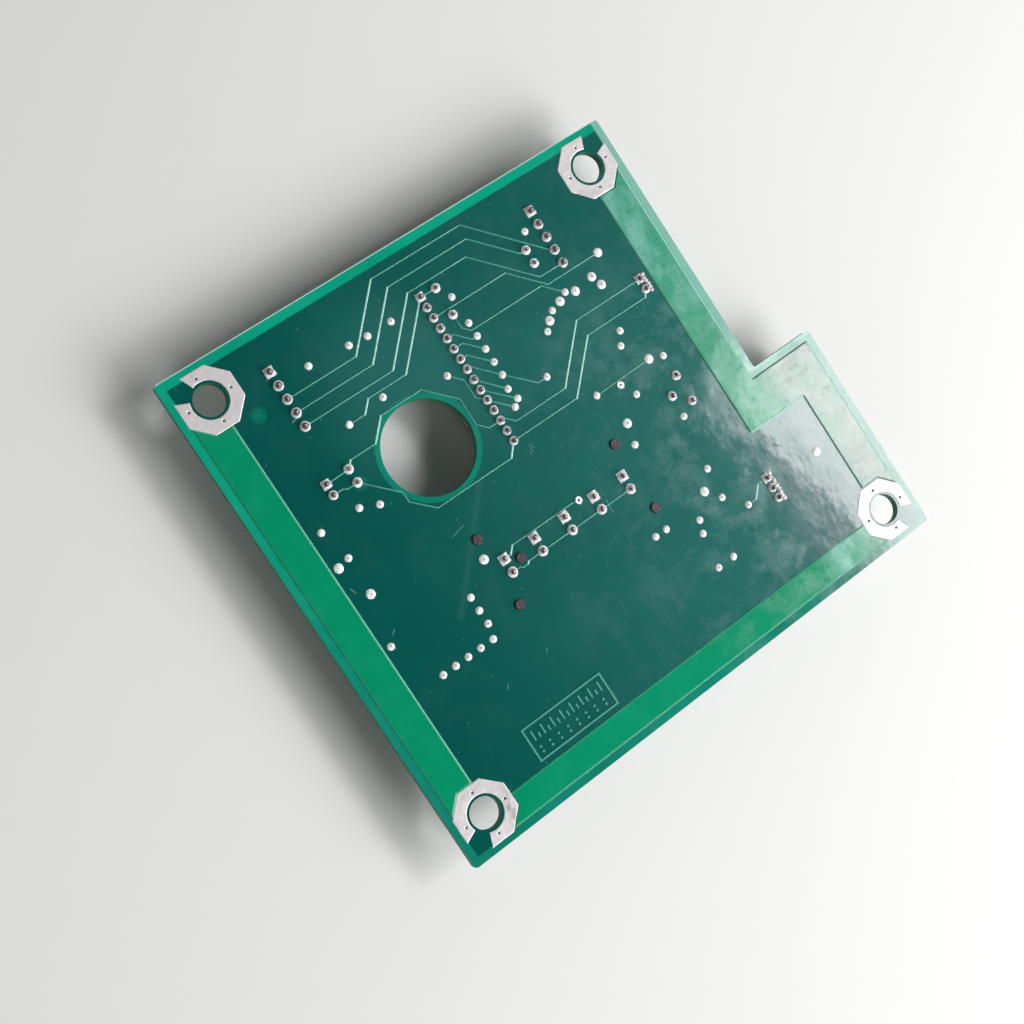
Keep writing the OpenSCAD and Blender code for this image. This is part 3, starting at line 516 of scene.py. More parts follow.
def add_loop(made, outline, width, low, high):
    """Adds a flat closed band along an outline of places in the plane."""
    count = len(outline)
    rings = []
    for side in (-1, 1):
        for z in (low, high):
            ring = []
            for i, place in enumerate(outline):
                before = (place - outline[i - 1]).normalized()
                after = (outline[(i + 1) % count] - place).normalized()
                normal = Vector((-before.y - after.y, before.x + after.x))
                flat = place + normal * side * (width / normal.length_squared)
                ring.append(made.verts.new((flat.x, flat.y, z)))
            rings.append(ring)
    inner_low, inner_high, outer_low, outer_high = rings
    for one, two in ((inner_high, inner_low), (outer_low, outer_high),
                     (outer_high, inner_high), (inner_low, outer_low)):
        for i in range(count):
            j = (i + 1) % count
            made.faces.new((one[i], one[j], two[j], two[i]))


# ------------------------------------------------------------------ finishes

# Places and widths in millimetres, from the board's lower left corner
BOARD_L, BOARD_W = ((BOARD_HIGH - BOARD_LOW) / MM).xy
UPPER_L = 89.6                       # length of the board above its step
STEP_Y = 40.2
BAND = 1.4                           # clear laminate outside the plane
BAND_TOP = 1.7
WINDOW = (31.95, 59.75)
WINDOW_R = 8.1
HALO = 0.95                          # clear ring round the window
SPOT = (11.4, 78.65)                 # clear round spot in the plane
PATCH = (19.1, 61.04)                # clear patch in the plane
SHEEN_SPOT = (34.0, 72.0)             # middle of a painted patch of sheen on the upper mask

# Heights of the mask's unevenness, in millimetres
WAVE, RIPPLE, GRAIN = 0.045, 0.004, 0.0006

# Second tones of the finishes, marks of wear and dirt, and painted sheen, glare, highlights and
# shade
LOWER_CLEAR = linear(18, 139, 117)
SHEEN_TINT = linear(95, 170, 163)
HAZE_AND_SHEEN = linear(140, 168, 166)
GLARE_FILM = linear(172, 158, 170)
SCRATCH = linear(150, 204, 190)
DUST = linear(150, 205, 195)
PALE_BAND = linear(176, 214, 206)
TOP_EDGE_HIGHLIGHT = linear(214, 236, 226)
WEAVE = linear(24, 94, 68)
COPPER_HAZE_AND_SHEEN = linear(150, 190, 178)
GLARE_TINT = linear(174, 226, 220)
GLARE_WHITE = linear(228, 222, 216)
GLARE_GREY = linear(156, 144, 150)
SHADED_SLOPE = linear(2, 92, 68)
LIGHT_STRIP = linear(14, 158, 116)
LIGHT_PLANE = linear(16, 136, 96)
LIGHT_TIN = linear(246, 241, 241)
WORN_TIN = linear(138, 140, 142)
DULL_DOME = linear(232, 222, 226)
PIT = linear(168, 152, 160)
DOT = linear(146, 124, 136)
RIM = linear(150, 152, 152)
DULL_JOINT = linear(204, 182, 190)
PALE_FLUX = linear(238, 230, 234)
DARK_FLUX = linear(128, 122, 126)
BRIGHT_PIN = linear(196, 190, 184)
DULL_PIN = linear(150, 142, 136)
PIN_SHADE = linear(84, 72, 78)
BLACK_FLOW = linear(44, 43, 44)
PEG = linear(50, 34, 42)
PEG_CRUST = linear(132, 122, 126)
LENS_SWIRL = linear(232, 236, 222)
CAN_RING = linear(214, 216, 222)
NYLON_FLOW = linear(214, 206, 184)
BOX_FLOW = linear(176, 132, 34)
RUBBER = linear(30, 30, 31)
RUBBER_FLOW = linear(48, 47, 46)
DISC_FLOW = linear(146, 88, 36)
CERAMIC = linear(26, 26, 29)
CERAMIC_FLOW = linear(44, 44, 48)
INK_FLOW = linear(196, 198, 190)


def within(x, y, low, high):
    """How far inside a rectangle a place is, negative outside."""
    return (x - low[0]).least(high[0] - x).least((y - low[1]).least(high[1] - y))


def distance(x, y, centre):
    across, up = x - centre[0], y - centre[1]
    return (across * across + up * up) ** 0.5


def segment(x, y, start, end, half_width):
    """1 on the line between two places, fading to 0 at half_width."""
    run = (end[0] - start[0], end[1] - start[1])
    length = run[0] ** 2 + run[1] ** 2
    share = (((x - start[0]) * run[0] + (y - start[1]) * run[1]) / length).held()
    across = x - start[0] - share * run[0]
    up = y - start[1] - share * run[1]
    return 1.0 - ((across * across + up * up) ** 0.5 / half_width).held()


def mask_wear_and_sheen(graph, x, y):
    """Haze of the glossy mask, from 0 to 1, and its ripple in millimetres; on the right it is
    painted sheen as well as dull film.
    """
    clouds = graph.noise(8.0, 5.0, rough=0.6, seed=11.0, bend=0.3).step(0.46, 0.68)
    patches = graph.noise(2.6, 3.0, rough=0.55, seed=21.0, bend=0.4).step(0.52, 0.62)
    # Weighted to the right, where the mask's sheen lies, so the pale colour there is painted sheen
    # as well as dull film
    right = x.step(24.0, 84.0) * (1.0 - 0.75 * y.step(56.0, 72.0))
    fine = graph.noise(0.45, 4.0, stretch=(1, 2.2, 1), rough=0.65, seed=4.0).step(0.3, 0.7)
    haze_and_sheen = (clouds * (0.12 + 0.88 * right) + patches * 0.4 * right) * (0.4 + 0.6 * fine)
    net = 1.0 - ((graph.noise(2.2, 3.0, rough=0.6, seed=51.0) - 0.5).size() / 0.014).held()
    haze_and_sheen = haze_and_sheen + net * patches.most(clouds) * (0.1 + 0.55 * right) * fine
    wave = graph.noise(5.0, 4.0, rough=0.5, seed=31.0)
    ripple = graph.noise(1.5, 2.0, seed=2.0)
    grain = graph.noise(0.16, 2.0, seed=7.0)
    haze_and_sheen = haze_and_sheen.held() * graph.facing().step(0.0, 0.5)
    return haze_and_sheen, wave * WAVE + ripple * RIPPLE + grain * GRAIN


# Both ends of each scratch, and its half width
SCRATCHES = (
    ((8.2, 48.0), (8.6, 46.9), 0.12), ((9.8, 38.2), (10.5, 38.7), 0.13),
    ((27.0, 45.6), (29.6, 46.2), 0.09), ((52.6, 33.8), (52.9, 36.2), 0.1),
    ((29.4, 21.2), (30.0, 21.9), 0.1), ((20.6, 20.2), (21.2, 20.9), 0.1),
    ((36.0, 50.5), (20.5, 34.0), 0.9), ((15.4, 74.9), (16.9, 75.3), 0.22),
)
WIDE_SCUFF = 0.5                     # marks wider than this are faint
BURST = (46.3, 50.5)                 # middle of the star of short scrapes
ARC = (76.4, 60.6)
ARC_R = 1.9


def scratch_marks(graph, x, y):
    """Pale scratches, the star of short scrapes and a faint arc, from 0 to 1."""
    marks = None
    for start, end, half_width in SCRATCHES:
        strength = 0.07 if half_width > WIDE_SCUFF else 0.9
        mark = segment(x, y, start, end, half_width) * strength
        marks = mark if marks is None else marks.most(mark)
    from_burst = distance(x, y, BURST)
    turn = graph.node("ShaderNodeMath", {"operation": "ARCTAN2"},
                      {0: y - BURST[1], 1: x - BURST[0]})
    rays = turn.maths("SINE", turn * 4.0 + turn.maths("SINE", turn)).size().step(0.9, 0.99)
    star = rays * from_burst.step(0.2, 0.4) * (1.0 - from_burst.step(0.8, 1.1))
    star = star * (x - y).step(BURST[0] - BURST[1] - 0.5, BURST[0] - BURST[1] + 0.3)
    arc = 1.0 - ((distance(x, y, ARC) - ARC_R).size() / 0.12).held()
    return marks.most(star * 0.9).most(arc * 0.2)


def laminate_finish():
    """Green solder mask on both faces and bare glass epoxy at every cut edge."""
    colours = bpy.context.scene.board_colours
    graph = Graph("board_mask")
    x, y = graph.place()[:2]
    inner = within(x, y, (BAND, BAND), (UPPER_L - BAND, BOARD_W - BAND_TOP)).most(
        within(x, y, (BAND, BAND), (BOARD_L - BAND, STEP_Y - BAND)))
    wobble = (graph.noise(0.8, 2.0, seed=3.0) - 0.5) * 0.12
    plane = (inner + wobble).step(-0.16, 0.16)
    ring = (distance(x, y, WINDOW) - (WINDOW_R + HALO) + wobble).step(-0.16, 0.16)
    spot = (distance(x, y, SPOT) + wobble * 5.0).step(0.7, 1.7)
    patch = (distance(x, y, PATCH) + wobble * 3.0).step(0.9, 1.5)
    plane = plane * (0.4 + 0.6 * ring) * (0.7 + 0.3 * spot) * (0.7 + 0.3 * patch)
    haze_and_sheen, height = mask_wear_and_sheen(graph, x, y)
    tone = graph.noise(14.0, 3.0, seed=9.0).step(0.3, 0.7)
    clear = graph.mix(y.step(20.0, 80.0), LOWER_CLEAR, colours.clear)
    base = graph.mix(plane, clear, colours.plane)
    base = graph.mix(tone * 0.25, base, darker(colours.plane, 0.66))
    # Painted sheen: the upper mask is painted paler towards the right and round a spot, where the
    # glossy mask shows its sheen
    painted_sheen = x.step(5.0, 75.0) * 0.17 * (1.0 - 0.6 * y.step(62.0, 84.0))
    painted_sheen = painted_sheen + (1.0 - distance(x, y, SHEEN_SPOT).step(4.0, 20.0)) * 0.13
    top = graph.facing().step(0.0, 0.5)
    base = graph.mix(painted_sheen * plane * top, base, SHEEN_TINT)
    # Dull film and painted sheen: the hazy mask is painted greyer
    base = graph.mix(haze_and_sheen * 0.2, base, HAZE_AND_SHEEN)
    # Painted glare: a pale streaky film painted on the lower right of the mask
    streaks = graph.noise(3.0, 4.0, stretch=(1.6, 0.8, 1), rough=0.6, seed=27.0, bend=0.8)
    film = x.step(74.0, 88.0) * (1.0 - y.step(34.0, 42.0)) * (0.4 + 0.6 * streaks.step(0.35, 0.6))
    base = graph.mix(film * top * 0.3, base, GLARE_FILM)
    base = graph.mix(scratch_marks(graph, x, y) * top * 0.55, base, SCRATCH)
    dust = graph.specks(9.0, 0.12, seed=3.0)
    base = graph.mix(dust * 0.4, base, DUST)
    outer = (x - (UPPER_L - BAND)).step(-0.1, 0.25) * (y - STEP_Y).step(-1.0, 0.5)
    base = graph.mix(outer * 0.55, base, PALE_BAND)
    # Painted highlight: a thin pale line along the board's top edge only
    edge_highlight = (y - (BOARD_W - 0.16)).step(0.0, 0.05)
    base = graph.mix(edge_highlight * 0.9, base, TOP_EDGE_HIGHLIGHT)
    side = graph.facing().size().step(0.35, 0.65)
    weave = graph.noise(0.25, 3.0, stretch=(0.3, 0.3, 6), seed=5.0).step(0.35, 0.65)
    cut = graph.mix(weave, colours.edge, WEAVE)
    return graph.finish(
        base_color=graph.mix(side, cut, base),
        roughness=(0.62 - side * 0.53) + haze_and_sheen * 0.1,
        normal=graph.bump(height, 1.0),
    )


def masked_copper(name, shade, lighter):
    """Copper under the same mask: brighter, with painted highlight and shade on its shoulders, and
    painted glare on the right.
    """
    colours = bpy.context.scene.board_colours
    graph = Graph(name)
    x, y = graph.place()[:2]
    haze_and_sheen, height = mask_wear_and_sheen(graph, x, y)
    tone = graph.noise(5.0, 3.0, seed=1.0).step(0.3, 0.7)
    scrape = graph.noise(0.7, 5.0, stretch=(0.4, 1.5, 1), rough=0.7, seed=14.0, bend=1.5)
    scrape = scrape.step(0.54, 0.62) * x.step(40.0, 84.0)
    base = graph.mix(tone * 0.3, shade, lighter)
    # Dull film and painted sheen: the hazy mask is painted greyer
    base = graph.mix(haze_and_sheen * 0.16, base, COPPER_HAZE_AND_SHEEN)
    base = graph.mix(scrape * 0.55, base, darker(shade, 0.5))
    # Patch noise that the painted glare below follows
    bare = graph.noise(5.0, 4.0, stretch=(1, 0.5, 1), rough=0.6, seed=17.0).step(0.4, 0.6)
    # The painted glare is weaker on the strip at its lower right and round its waist
    foot = (1.0 - y.step(36.0, 42.0)) * x.step(84.0, 92.0)
    waist = y.step(22.0, 30.0) * (1.0 - y.step(48.0, 62.0)) * (1.0 - x.step(86.0, 92.0))
    # Painted glare: the strip is painted pale and patchy towards the right
    painted_glare = x.step(79.0, 84.0) * (0.35 + 0.65 * bare) * (1.0 - 0.5 * scrape)
    painted_glare = painted_glare * (1.0 - 0.8 * foot) * (1.0 - 0.75 * waist)
    glare_shade = graph.mix(x.step(88.0, 97.0), GLARE_TINT, GLARE_WHITE)
    base = graph.mix(painted_glare * (0.45 + 0.15 * x.step(90.0, 96.0)), base, glare_shade)
    # Painted glare: the strip's right end is painted grey
    base = graph.mix(x.step(86.0, 96.0) * (0.35 + 0.3 * bare), base, GLARE_GREY)
    # Painted highlight on the shoulders that lean towards the light and painted shade on those that
    # lean away, both stronger to the right
    right = x.step(60.0, 84.0)
    lean = graph.facing(0) * 0.75 - graph.facing(1) * (0.1 + 0.56 * right * y.step(22.0, 30.0))
    base = graph.mix(lean.step(0.05, 0.13) * (0.45 + 0.4 * right), base, colours.shoulder)
    base = graph.mix((-lean).step(0.03, 0.13) * (0.35 + 0.4 * right), base, SHADED_SLOPE)
    slope = (1.0 - graph.facing()).step(0.001, 0.01)
    return graph.finish(base_color=base, roughness=0.12 + haze_and_sheen * 0.08 + scrape * 0.15 + slope * 0.4,
                        normal=graph.bump(height, 1.3))


def line_finish():
    """Lines under the mask, brighter where a run catches the light."""
    colours = bpy.context.scene.board_colours
    graph = Graph("line_mask")
    x, y = graph.place()[:2]
    shine = graph.node("ShaderNodeAttribute", {"attribute_name": "shine"}, output="Fac")
    haze_and_sheen, height = mask_wear_and_sheen(graph, x, y)
    broken = graph.noise(1.2, 3.0, seed=12.0).step(0.25, 0.6)
    base = graph.mix(shine, colours.line, colours.bright_line)
    base = graph.mix((1.0 - broken) * 0.35, base, colours.strip)
    return graph.finish(base_color=base, roughness=0.25 + haze_and_sheen * 0.2,
                        normal=graph.bump(height, 1.0))


# Both ends of each rub mark on the corner pads, and its half width
WORN = (
    ((9.8, 3.6), (10.6, 9.2), 2.6), ((5.0, 10.6), (8.4, 10.8), 1.3),
    ((79.6, 81.0), (82.2, 80.4), 1.4),
)


def tinned_finish():
    """Hot-tinned copper: satin, mottled, with grey rub marks and dark spots at its vias."""
    colours = bpy.context.scene.solder_colours
    graph = Graph("tinned_pads")
    x, y = graph.place()[:2]
    mottle = graph.noise(1.3, 4.0, rough=0.6).step(0.35, 0.7)
    rub = graph.noise(2.2, 3.0, stretch=(1, 0.6, 1), seed=6.0).step(0.55, 0.72)
    first, second, third = (segment(x, y, *mark) for mark in WORN)
    worn = (first.most(second).most(third) * (0.5 + rub)).held()
    base = graph.mix(mottle * 0.4, colours.tin, LIGHT_TIN)
    base = graph.mix((worn * 0.65 + rub * 0.12).held(), base, WORN_TIN)
    return graph.finish(base_color=base, metallic=0.2, roughness=0.36 + worn * 0.2,
                        normal=graph.bump(mottle, 0.02))


def via_finish():
    """Bright solder with a few pinkish grey pits."""
    colours = bpy.context.scene.solder_colours
    graph = Graph("via_solder")
    reach = graph.node("ShaderNodeAttribute", {"attribute_name": "reach"}, output="Fac")
    pits = graph.noise(0.42, 3.0, rough=0.65).step(0.58, 0.7)
    film = graph.noise(1.1, 2.0, seed=8.0).step(0.45, 0.75)
    some = graph.noise(4.5, 1.0, seed=40.0).step(0.42, 0.5)
    dot = (1.0 - (reach + (pits - 0.5) * 0.1).step(0.16, 0.34)) * some
    rim = (reach + (film - 0.5) * 0.2).step(0.78, 0.98)
    base = graph.mix(film * 0.2, colours.dome, DULL_DOME)
    base = graph.mix(pits * 0.25, base, PIT)
    base = graph.mix(dot * 0.7, base, DOT)
    base = graph.mix(rim * 0.3, base, RIM)
    return graph.finish(base_color=base, roughness=0.3 + pits * 0.25,
                        normal=graph.bump(pits, 0.03))


def joint_finish():
    """Solder round a pin: bright on the pad, with painted shade where it climbs the pin."""
    colours = bpy.context.scene.solder_colours
    graph = Graph("joint_solder")
    above = graph.above_mask()
    lumps = graph.noise(0.4, 3.0, rough=0.6, seed=2.0)
    climb = (above + (lumps - 0.5) * 0.6).step(0.36, 0.56)
    film = graph.noise(0.8, 2.0, seed=8.0).step(0.5, 0.75)
    foot = (above + (lumps - 0.5) * 0.2).step(0.0, 0.12)
    base = graph.mix(film * 0.3, colours.joint, DULL_JOINT)
    base = graph.mix((1.0 - foot) * 0.3, base, RIM)
    # Painted shade on the solder that climbs the pin
    base = graph.mix(climb * 0.8, base, colours.neck_shade)
    return graph.finish(base_color=base, metallic=climb * 0.3, roughness=0.3 - climb * 0.08,
                        normal=graph.bump(lumps, 0.05))


def flux_finish():
    """Dried flux and solder dross: a pale lumpy crust."""
    graph = Graph("flux_crust")
    grime = graph.noise(0.35, 4.0, rough=0.65, seed=16.0)
    base = graph.mix(grime.step(0.44, 0.64), PALE_FLUX, DARK_FLUX)
    return graph.finish(base_color=base, roughness=0.4, normal=graph.bump(grime, 0.06))


def pin_finish():
    """Tinned pins, dull and brownish where they were cut, with painted shade on their sides above
    the mask.
    """
    colours = bpy.context.scene.solder_colours
    graph = Graph("pin_metal")
    streak = graph.noise(0.3, 2.0, stretch=(1, 1, 0.2)).step(0.35, 0.7)
    tip = graph.above_mask().step(-0.5, -0.1)
    grime = graph.noise(0.35, 3.0, rough=0.6, seed=3.0).step(0.4, 0.65)
    cut = graph.facing().step(0.3, 0.6)
    base = graph.mix(streak * 0.5, BRIGHT_PIN, DULL_PIN)
    # Painted shade: the pins are painted dark above the mask, all but their cut ends
    base = graph.mix(tip * 0.9, base, PIN_SHADE)
    base = graph.mix(cut * tip * (1.0 - 0.45 * grime), base, colours.pin)
    return graph.finish(base_color=base, metallic=0.75 - tip * 0.65,
                        roughness=0.34 + streak * 0.15, normal=graph.bump(streak, 0.01))


def moulded_finish(name, shade, flow_shade, roughness, grain_mm):
    """Moulded plastic with a fine grain and slight flow marks."""
    graph = Graph(name)
    grain = graph.noise(grain_mm, 2.0, seed=1.0)
    flow = graph.noise(3.0, 2.0, stretch=(1, 1, 0.4), seed=3.0).step(0.3, 0.75)
    base = graph.mix(flow * 0.5, shade, flow_shade)
    return graph.finish(base_color=base, roughness=roughness + flow * 0.12,
                        normal=graph.bump(grain, 0.012))


def holder_finish():
    """Black moulding whose pegs show brown and speckled where heat spread them."""
    colours = bpy.context.scene.part_colours
    graph = Graph("black_plastic")
    flow = graph.noise(3.0, 2.0, stretch=(1, 1, 0.4), seed=3.0).step(0.3, 0.75)
    peg = graph.above_mask().step(-0.3, 0.0)
    crust = graph.noise(0.3, 4.0, rough=0.7, seed=6.0)
    base = graph.mix(flow * 0.5, colours.black, BLACK_FLOW)
    base = graph.mix(peg * 0.9, base, PEG)
    base = graph.mix(peg * crust.step(0.52, 0.64) * 0.75, base, PEG_CRUST)
    return graph.finish(base_color=base, roughness=0.42 + flow * 0.12,
                        normal=graph.bump(crust, 0.03))


def lens_finish():
    """Clear cast resin, faintly tinted."""
    colours = bpy.context.scene.part_colours
    graph = Graph("lamp_resin")
    swirl = graph.noise(1.2, 2.0).step(0.3, 0.7)
    base = graph.mix(swirl * 0.4, colours.lens, LENS_SWIRL)
    return graph.finish(base_color=base, roughness=0.08 + swirl * 0.05,
                        transmission_weight=0.85, ior=1.5)


def can_finish():
    """Drawn aluminium with fine rings round the can."""
    colours = bpy.context.scene.part_colours
    graph = Graph("can_metal")
    rings = graph.noise(0.5, 2.0, stretch=(0.05, 0.05, 3.0)).step(0.3, 0.7)
    base = graph.mix(rings * 0.5, colours.can, CAN_RING)
    return graph.finish(base_color=base, metallic=0.9, roughness=0.28 + rings * 0.12,
                        normal=graph.bump(rings, 0.006))


def paint(nodes, material):
    """Gives one material to several nodes of the frame."""
    for name in nodes:
        mesh = NODES[name].data
        mesh.materials.clear()
        mesh.materials.append(material)


# ------------------------------------------------------------------ operators

class DressLaminate(bpy.types.Operator):
    """Finish the laminate: mask on its faces, bare epoxy on its edges"""

    bl_idname = "relay.dress_laminate"
    bl_label = "Laminate"

    def execute(self, context):
        paint(["laminate"], laminate_finish())
        return {"FINISHED"}


class DressCopper(bpy.types.Operator):
    """Lay the mask over the copper: border strip and far side"""

    bl_idname = "relay.dress_copper"
    bl_label = "Copper under mask"

    def execute(self, context):
        colours = context.scene.board_colours
        relief = context.scene.relief
        strip = masked_copper("strip_mask", colours.strip, LIGHT_STRIP)
        piece = sloped("border_copper", "border_strip", strip, relief.shoulder,
                       MASK_DROP, MASK_Z - TOP_DEPTH)
        far_side = masked_copper("plane_mask", colours.far_plane, LIGHT_PLANE)
        paint(["component_pour", "component_lines"], far_side)
        return {"FINISHED"}


class DrawLines(bpy.types.Operator):
    """Draw the thin lines as round ridges under the mask"""

    bl_idname = "relay.draw_lines"
    bl_label = "Lines"

    def execute(self, context):
        relief = context.scene.relief
        finish = line_finish()
        low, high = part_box("traces")
        made = bmesh.new()
        layer = made.verts.layers.float.new("shine")
        for start, end in straight_runs("traces", TRACE_W):
            along = (end - start).normalized()
            lit = along.x * along.y > LIT_SLANT
            ridge(made, layer, (start, end), relief.bright_line if lit else relief.line,
                  high.z - low.z, low.z, LIT_SHINE if lit else 0.0)
        piece = stand_in("mask_lines", "traces", made, finish)
        paint(["etched_frame"], finish)
        return {"FINISHED"}


class DressSolder(bpy.types.Operator):
    """Set the solder unevenly in the vias and joints, and tin the corner pads"""

    bl_idname = "relay.dress_solder"
    bl_label = "Solder and pins"

    def execute(self, context):
        noise.seed_set(LUMP_SEED)
        relief = context.scene.relief
        tinned = tinned_finish()
        piece = sloped("tinned_corners", "corner_pads", tinned, relief.rim, TIN_DROP,
                       MASK_Z - TOP_DEPTH)
        paint(["resistor_lands"], tinned)
        bright = via_finish()
        for seed, node in enumerate(("filled_vias", "test_points", "open_vias")):
            piece = lumpy("solder_" + node, node, relief.lump, VIA_LUMP,
                          BOARD_HIGH.z, bright, seed)
        joints = joint_finish()
        for seed, node in enumerate(sorted(n for n in NODES if n.endswith("_joints"))):
            piece = lumpy("solder_" + node, node, relief.lump, JOINT_LUMP,
                          BOARD_HIGH.z, joints, seed + 10)
        paint([n for n in NODES if n.endswith(("_pins", "_leads"))] + ["resistor_ends"],
              pin_finish())
        self.leave_flux(("triple_joints", "right_pair_joints"))
        return {"FINISHED"}

    def leave_flux(self, rows):
        """A crust of flux along the right of the short rows."""
        waves, reach = CRUST_WANDER
        made = bmesh.new()
        for node in rows:
            low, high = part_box(node)
            start = Vector(((low.x + high.x) / 2, low.y, MASK_Z))
            start += Vector((*CRUST_SHIFT, 0.0))
            count = round((high.y - low.y) / CRUST_GAP)
            for i in range(count):
                place = start + Vector((0.0, CRUST_GAP * i, 0.0))
                wander = stray(place, waves, 3.0) * reach
                wander.z = 0.0
                crust_over(made, place + wander, CRUST_R, i)
        piece = stand_in("flux_crust", None, made, flux_finish())


class DressParts(bpy.types.Operator):
    """Finish the housings, lamp holder, lamps and small parts below the board"""

    bl_idname = "relay.dress_parts"
    bl_label = "Component side parts"

    def execute(self, context):
        colours = context.scene.part_colours
        corner = context.scene.relief.corner
        nylon = moulded_finish("housing_plastic", colours.nylon, NYLON_FLOW, 0.42, 0.12)
        for node in sorted(NODES):
            if node.endswith(("header_body", "pair_body", "triple_body")):
                piece = softened("moulded_" + node, node, nylon, corner)
        holder = holder_finish()
        for node in ("lamp_holder", "transistor_body"):
            piece = softened("moulded_" + node, node, holder, corner)
        piece = softened("moulded_box", "box_body", moulded_finish(
            "box_plastic", colours.box, BOX_FLOW, 0.3, 0.2), corner)
        self.print_outlines(colours)
        paint(["lamp_lenses"], lens_finish())
        paint(["capacitor_can"], can_finish())
        paint(["capacitor_bung"], moulded_finish(
            "bung_rubber", RUBBER, RUBBER_FLOW, 0.7, 0.2))
        paint(["disc_body"], moulded_finish(
            "disc_coating", colours.disc, DISC_FLOW, 0.22, 0.5))
        paint(["resistor_chips"], moulded_finish(
            "chip_ceramic", CERAMIC, CERAMIC_FLOW, 0.25, 0.1))
        return {"FINISHED"}

    def print_outlines(self, colours):
        """Plain printed outlines round the parts, on the component side."""
        made = bmesh.new()
        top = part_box("component_pour")[0].z
        for node in sorted(NODES):
            if node.endswith("_body") or node in ("lamp_holder", "capacitor_can"):
                low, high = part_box(node)
                reach = INK_GAP + INK_W / 2
                outline = [Vector((x, y)) for x, y in (
                    (low.x - reach, low.y - reach), (high.x + reach, low.y - reach),
                    (high.x + reach, high.y + reach), (low.x - reach, high.y + reach))]
                add_loop(made, outline, INK_W, top - INK_T, top)
        ink = moulded_finish("outline_ink", colours.ink, INK_FLOW, 0.6, 0.3)
        piece = stand_in("printed_outlines", None, made, ink)


FLOOR_REACH = 3.0                    # metres from the middle to each side of the floor
FLOOR_FADE = (230.0, 700.0)          # millimetres over which its paint turns into glow
BLACK = (0.0, 0.0, 0.0)
KEY_PLACE = (0.34, -0.58, 0.52)
KEY_AIM = (0.0, 0.0, MASK_Z)
KEY_SIZE = (0.7, 0.5)
WINDOW_PLACE = (0.351, -0.131, 0.445)
WINDOW_AIM = (0.063, -0.214, MASK_Z)
WINDOW_SIZE = (0.21, 0.13)
CAMERA_RIGHT = (0.77925, -0.54656, 0.30665)
CAMERA_UP = (0.53883, 0.83417, 0.11754)
CAMERA_SHIFT = (-0.04709, 0.06299, 0.25037)    # from the lower left corner of the mask


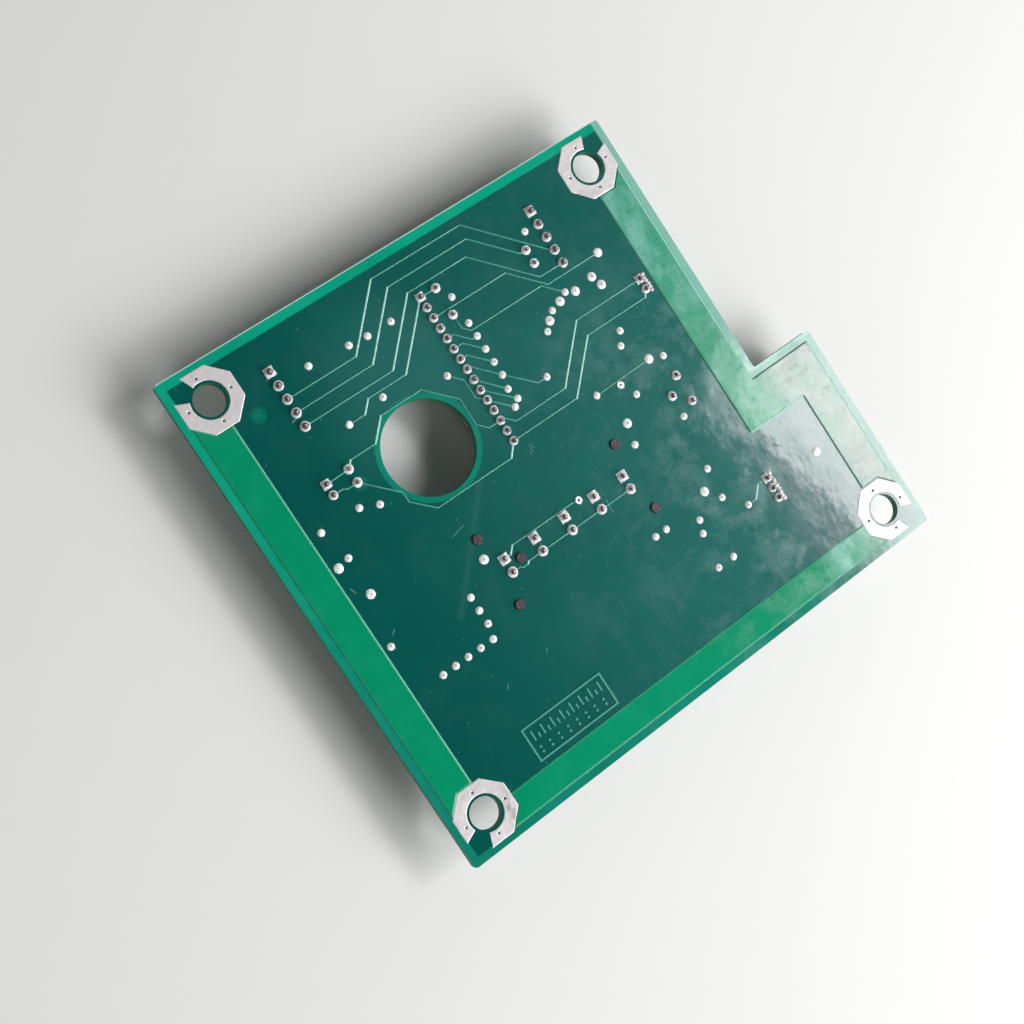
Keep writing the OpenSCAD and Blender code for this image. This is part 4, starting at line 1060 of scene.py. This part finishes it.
class SetStage(bpy.types.Operator):
    """Lay the floor, hang the lamps and place the camera"""

    bl_idname = "relay.set_stage"
    bl_label = "Stage"

    def execute(self, context):
        settings = context.scene.stage_settings
        self.lay_floor(settings)
        self.hang_lamps(settings)
        self.light_sky(context, settings)
        self.place_camera(context, settings)
        return {"FINISHED"}

    def lay_floor(self, settings):
        """A floor whose far part glows in the colour of its paint."""
        mesh = bpy.data.meshes.new("floor")
        mesh.from_pydata([(x * FLOOR_REACH, y * FLOOR_REACH, 0.0) for x, y in
                          ((-1, -1), (1, -1), (1, 1), (-1, 1))], [], [(0, 1, 2, 3)])
        floor = bpy.data.objects.new("floor", mesh)
        bpy.context.scene.collection.objects.link(floor)
        graph = Graph("floor_paint")
        grain = graph.noise(6.0, 3.0).step(0.3, 0.7)
        base = graph.mix(grain * 0.15, settings.floor, darker(settings.floor, 0.97))
        far = distance(*graph.place()[:2], (0.0, 0.0)).step(*FLOOR_FADE)
        mesh.materials.append(graph.finish(
            base_color=graph.mix(far, base, BLACK), roughness=0.9,
            emission_color=graph.mix(far, BLACK, settings.floor),
            emission_strength=1.0))

    def hang_lamps(self, settings):
        self.hang("key_lamp", KEY_PLACE, KEY_AIM, KEY_SIZE, settings.key_power)
        self.hang("window_lamp", WINDOW_PLACE, WINDOW_AIM, WINDOW_SIZE, settings.window_power)

    def hang(self, name, place, target, size, power):
        lamp = bpy.data.lights.new(name, "AREA")
        lamp.shape = "RECTANGLE"
        lamp.size, lamp.size_y = size
        lamp.energy = power
        hung = bpy.data.objects.new(name, lamp)
        hung.location = place
        aim = Vector(target) - Vector(place)
        hung.rotation_euler = aim.to_track_quat("-Z", "Y").to_euler()
        bpy.context.scene.collection.objects.link(hung)

    def light_sky(self, context, settings):
        """A sky that is dim overhead, where the board mirrors it, and pale at the horizon."""
        world = bpy.data.worlds.new("sky")
        graph = Graph("sky", world)
        up = graph.node("ShaderNodeSeparateXYZ", inputs={
            0: graph.node("ShaderNodeTexCoord", output="Generated")}, output=2)
        low = 1.0 - up.held()
        graph.shader.inputs["Color"].default_value = (1, 1, 1, 1)
        graph.feed(graph.shader.inputs["Strength"],
                   low * low * settings.horizon + settings.zenith)
        context.scene.world = world

    def place_camera(self, context, settings):
        camera = bpy.data.objects.new("camera", bpy.data.cameras.new("camera"))
        camera.data.lens = settings.lens
        camera.data.clip_start = 0.01
        right, up = Vector(CAMERA_RIGHT), Vector(CAMERA_UP)
        back = right.cross(up)
        spot = Vector((BOARD_LOW.x, BOARD_LOW.y, MASK_Z)) + Vector(CAMERA_SHIFT)
        turn = Matrix((right, up, back)).transposed().to_4x4()
        camera.matrix_world = Matrix.Translation(spot) @ turn
        context.scene.collection.objects.link(camera)
        context.scene.camera = camera


class RelayPanel(bpy.types.Panel):
    """Lists the steps that dress the board"""

    bl_idname = "VIEW3D_PT_relay_board"
    bl_label = "Relay Board"
    bl_space_type = "VIEW_3D"
    bl_region_type = "UI"
    bl_category = "Relay Board"

    def draw(self, context):
        for step in STEPS:
            self.layout.operator(step.bl_idname)
        for group in GROUPS:
            settings = getattr(context.scene, group)
            box = self.layout.box()
            for name in settings.__annotations__:
                box.prop(settings, name)


STEPS = (DressLaminate, DressCopper, DrawLines, DressSolder, DressParts, SetStage)
GROUPS = {"board_colours": BoardColours, "solder_colours": SolderColours,
          "part_colours": PartColours, "relief": Relief, "stage_settings": StageSettings}


def register():
    for kind in (*GROUPS.values(), *STEPS, RelayPanel):
        bpy.utils.register_class(kind)
    for name, kind in GROUPS.items():
        setattr(bpy.types.Scene, name, PointerProperty(type=kind))


def unregister():
    for name in GROUPS:
        delattr(bpy.types.Scene, name)
    for kind in reversed((*GROUPS.values(), *STEPS, RelayPanel)):
        bpy.utils.unregister_class(kind)


def main():
    register()
    bpy.context.scene.view_settings.view_transform = "Standard"
    for step in STEPS:
        getattr(bpy.ops.relay, step.bl_idname.split(".")[1])()


if __name__ == "__main__":
    main()
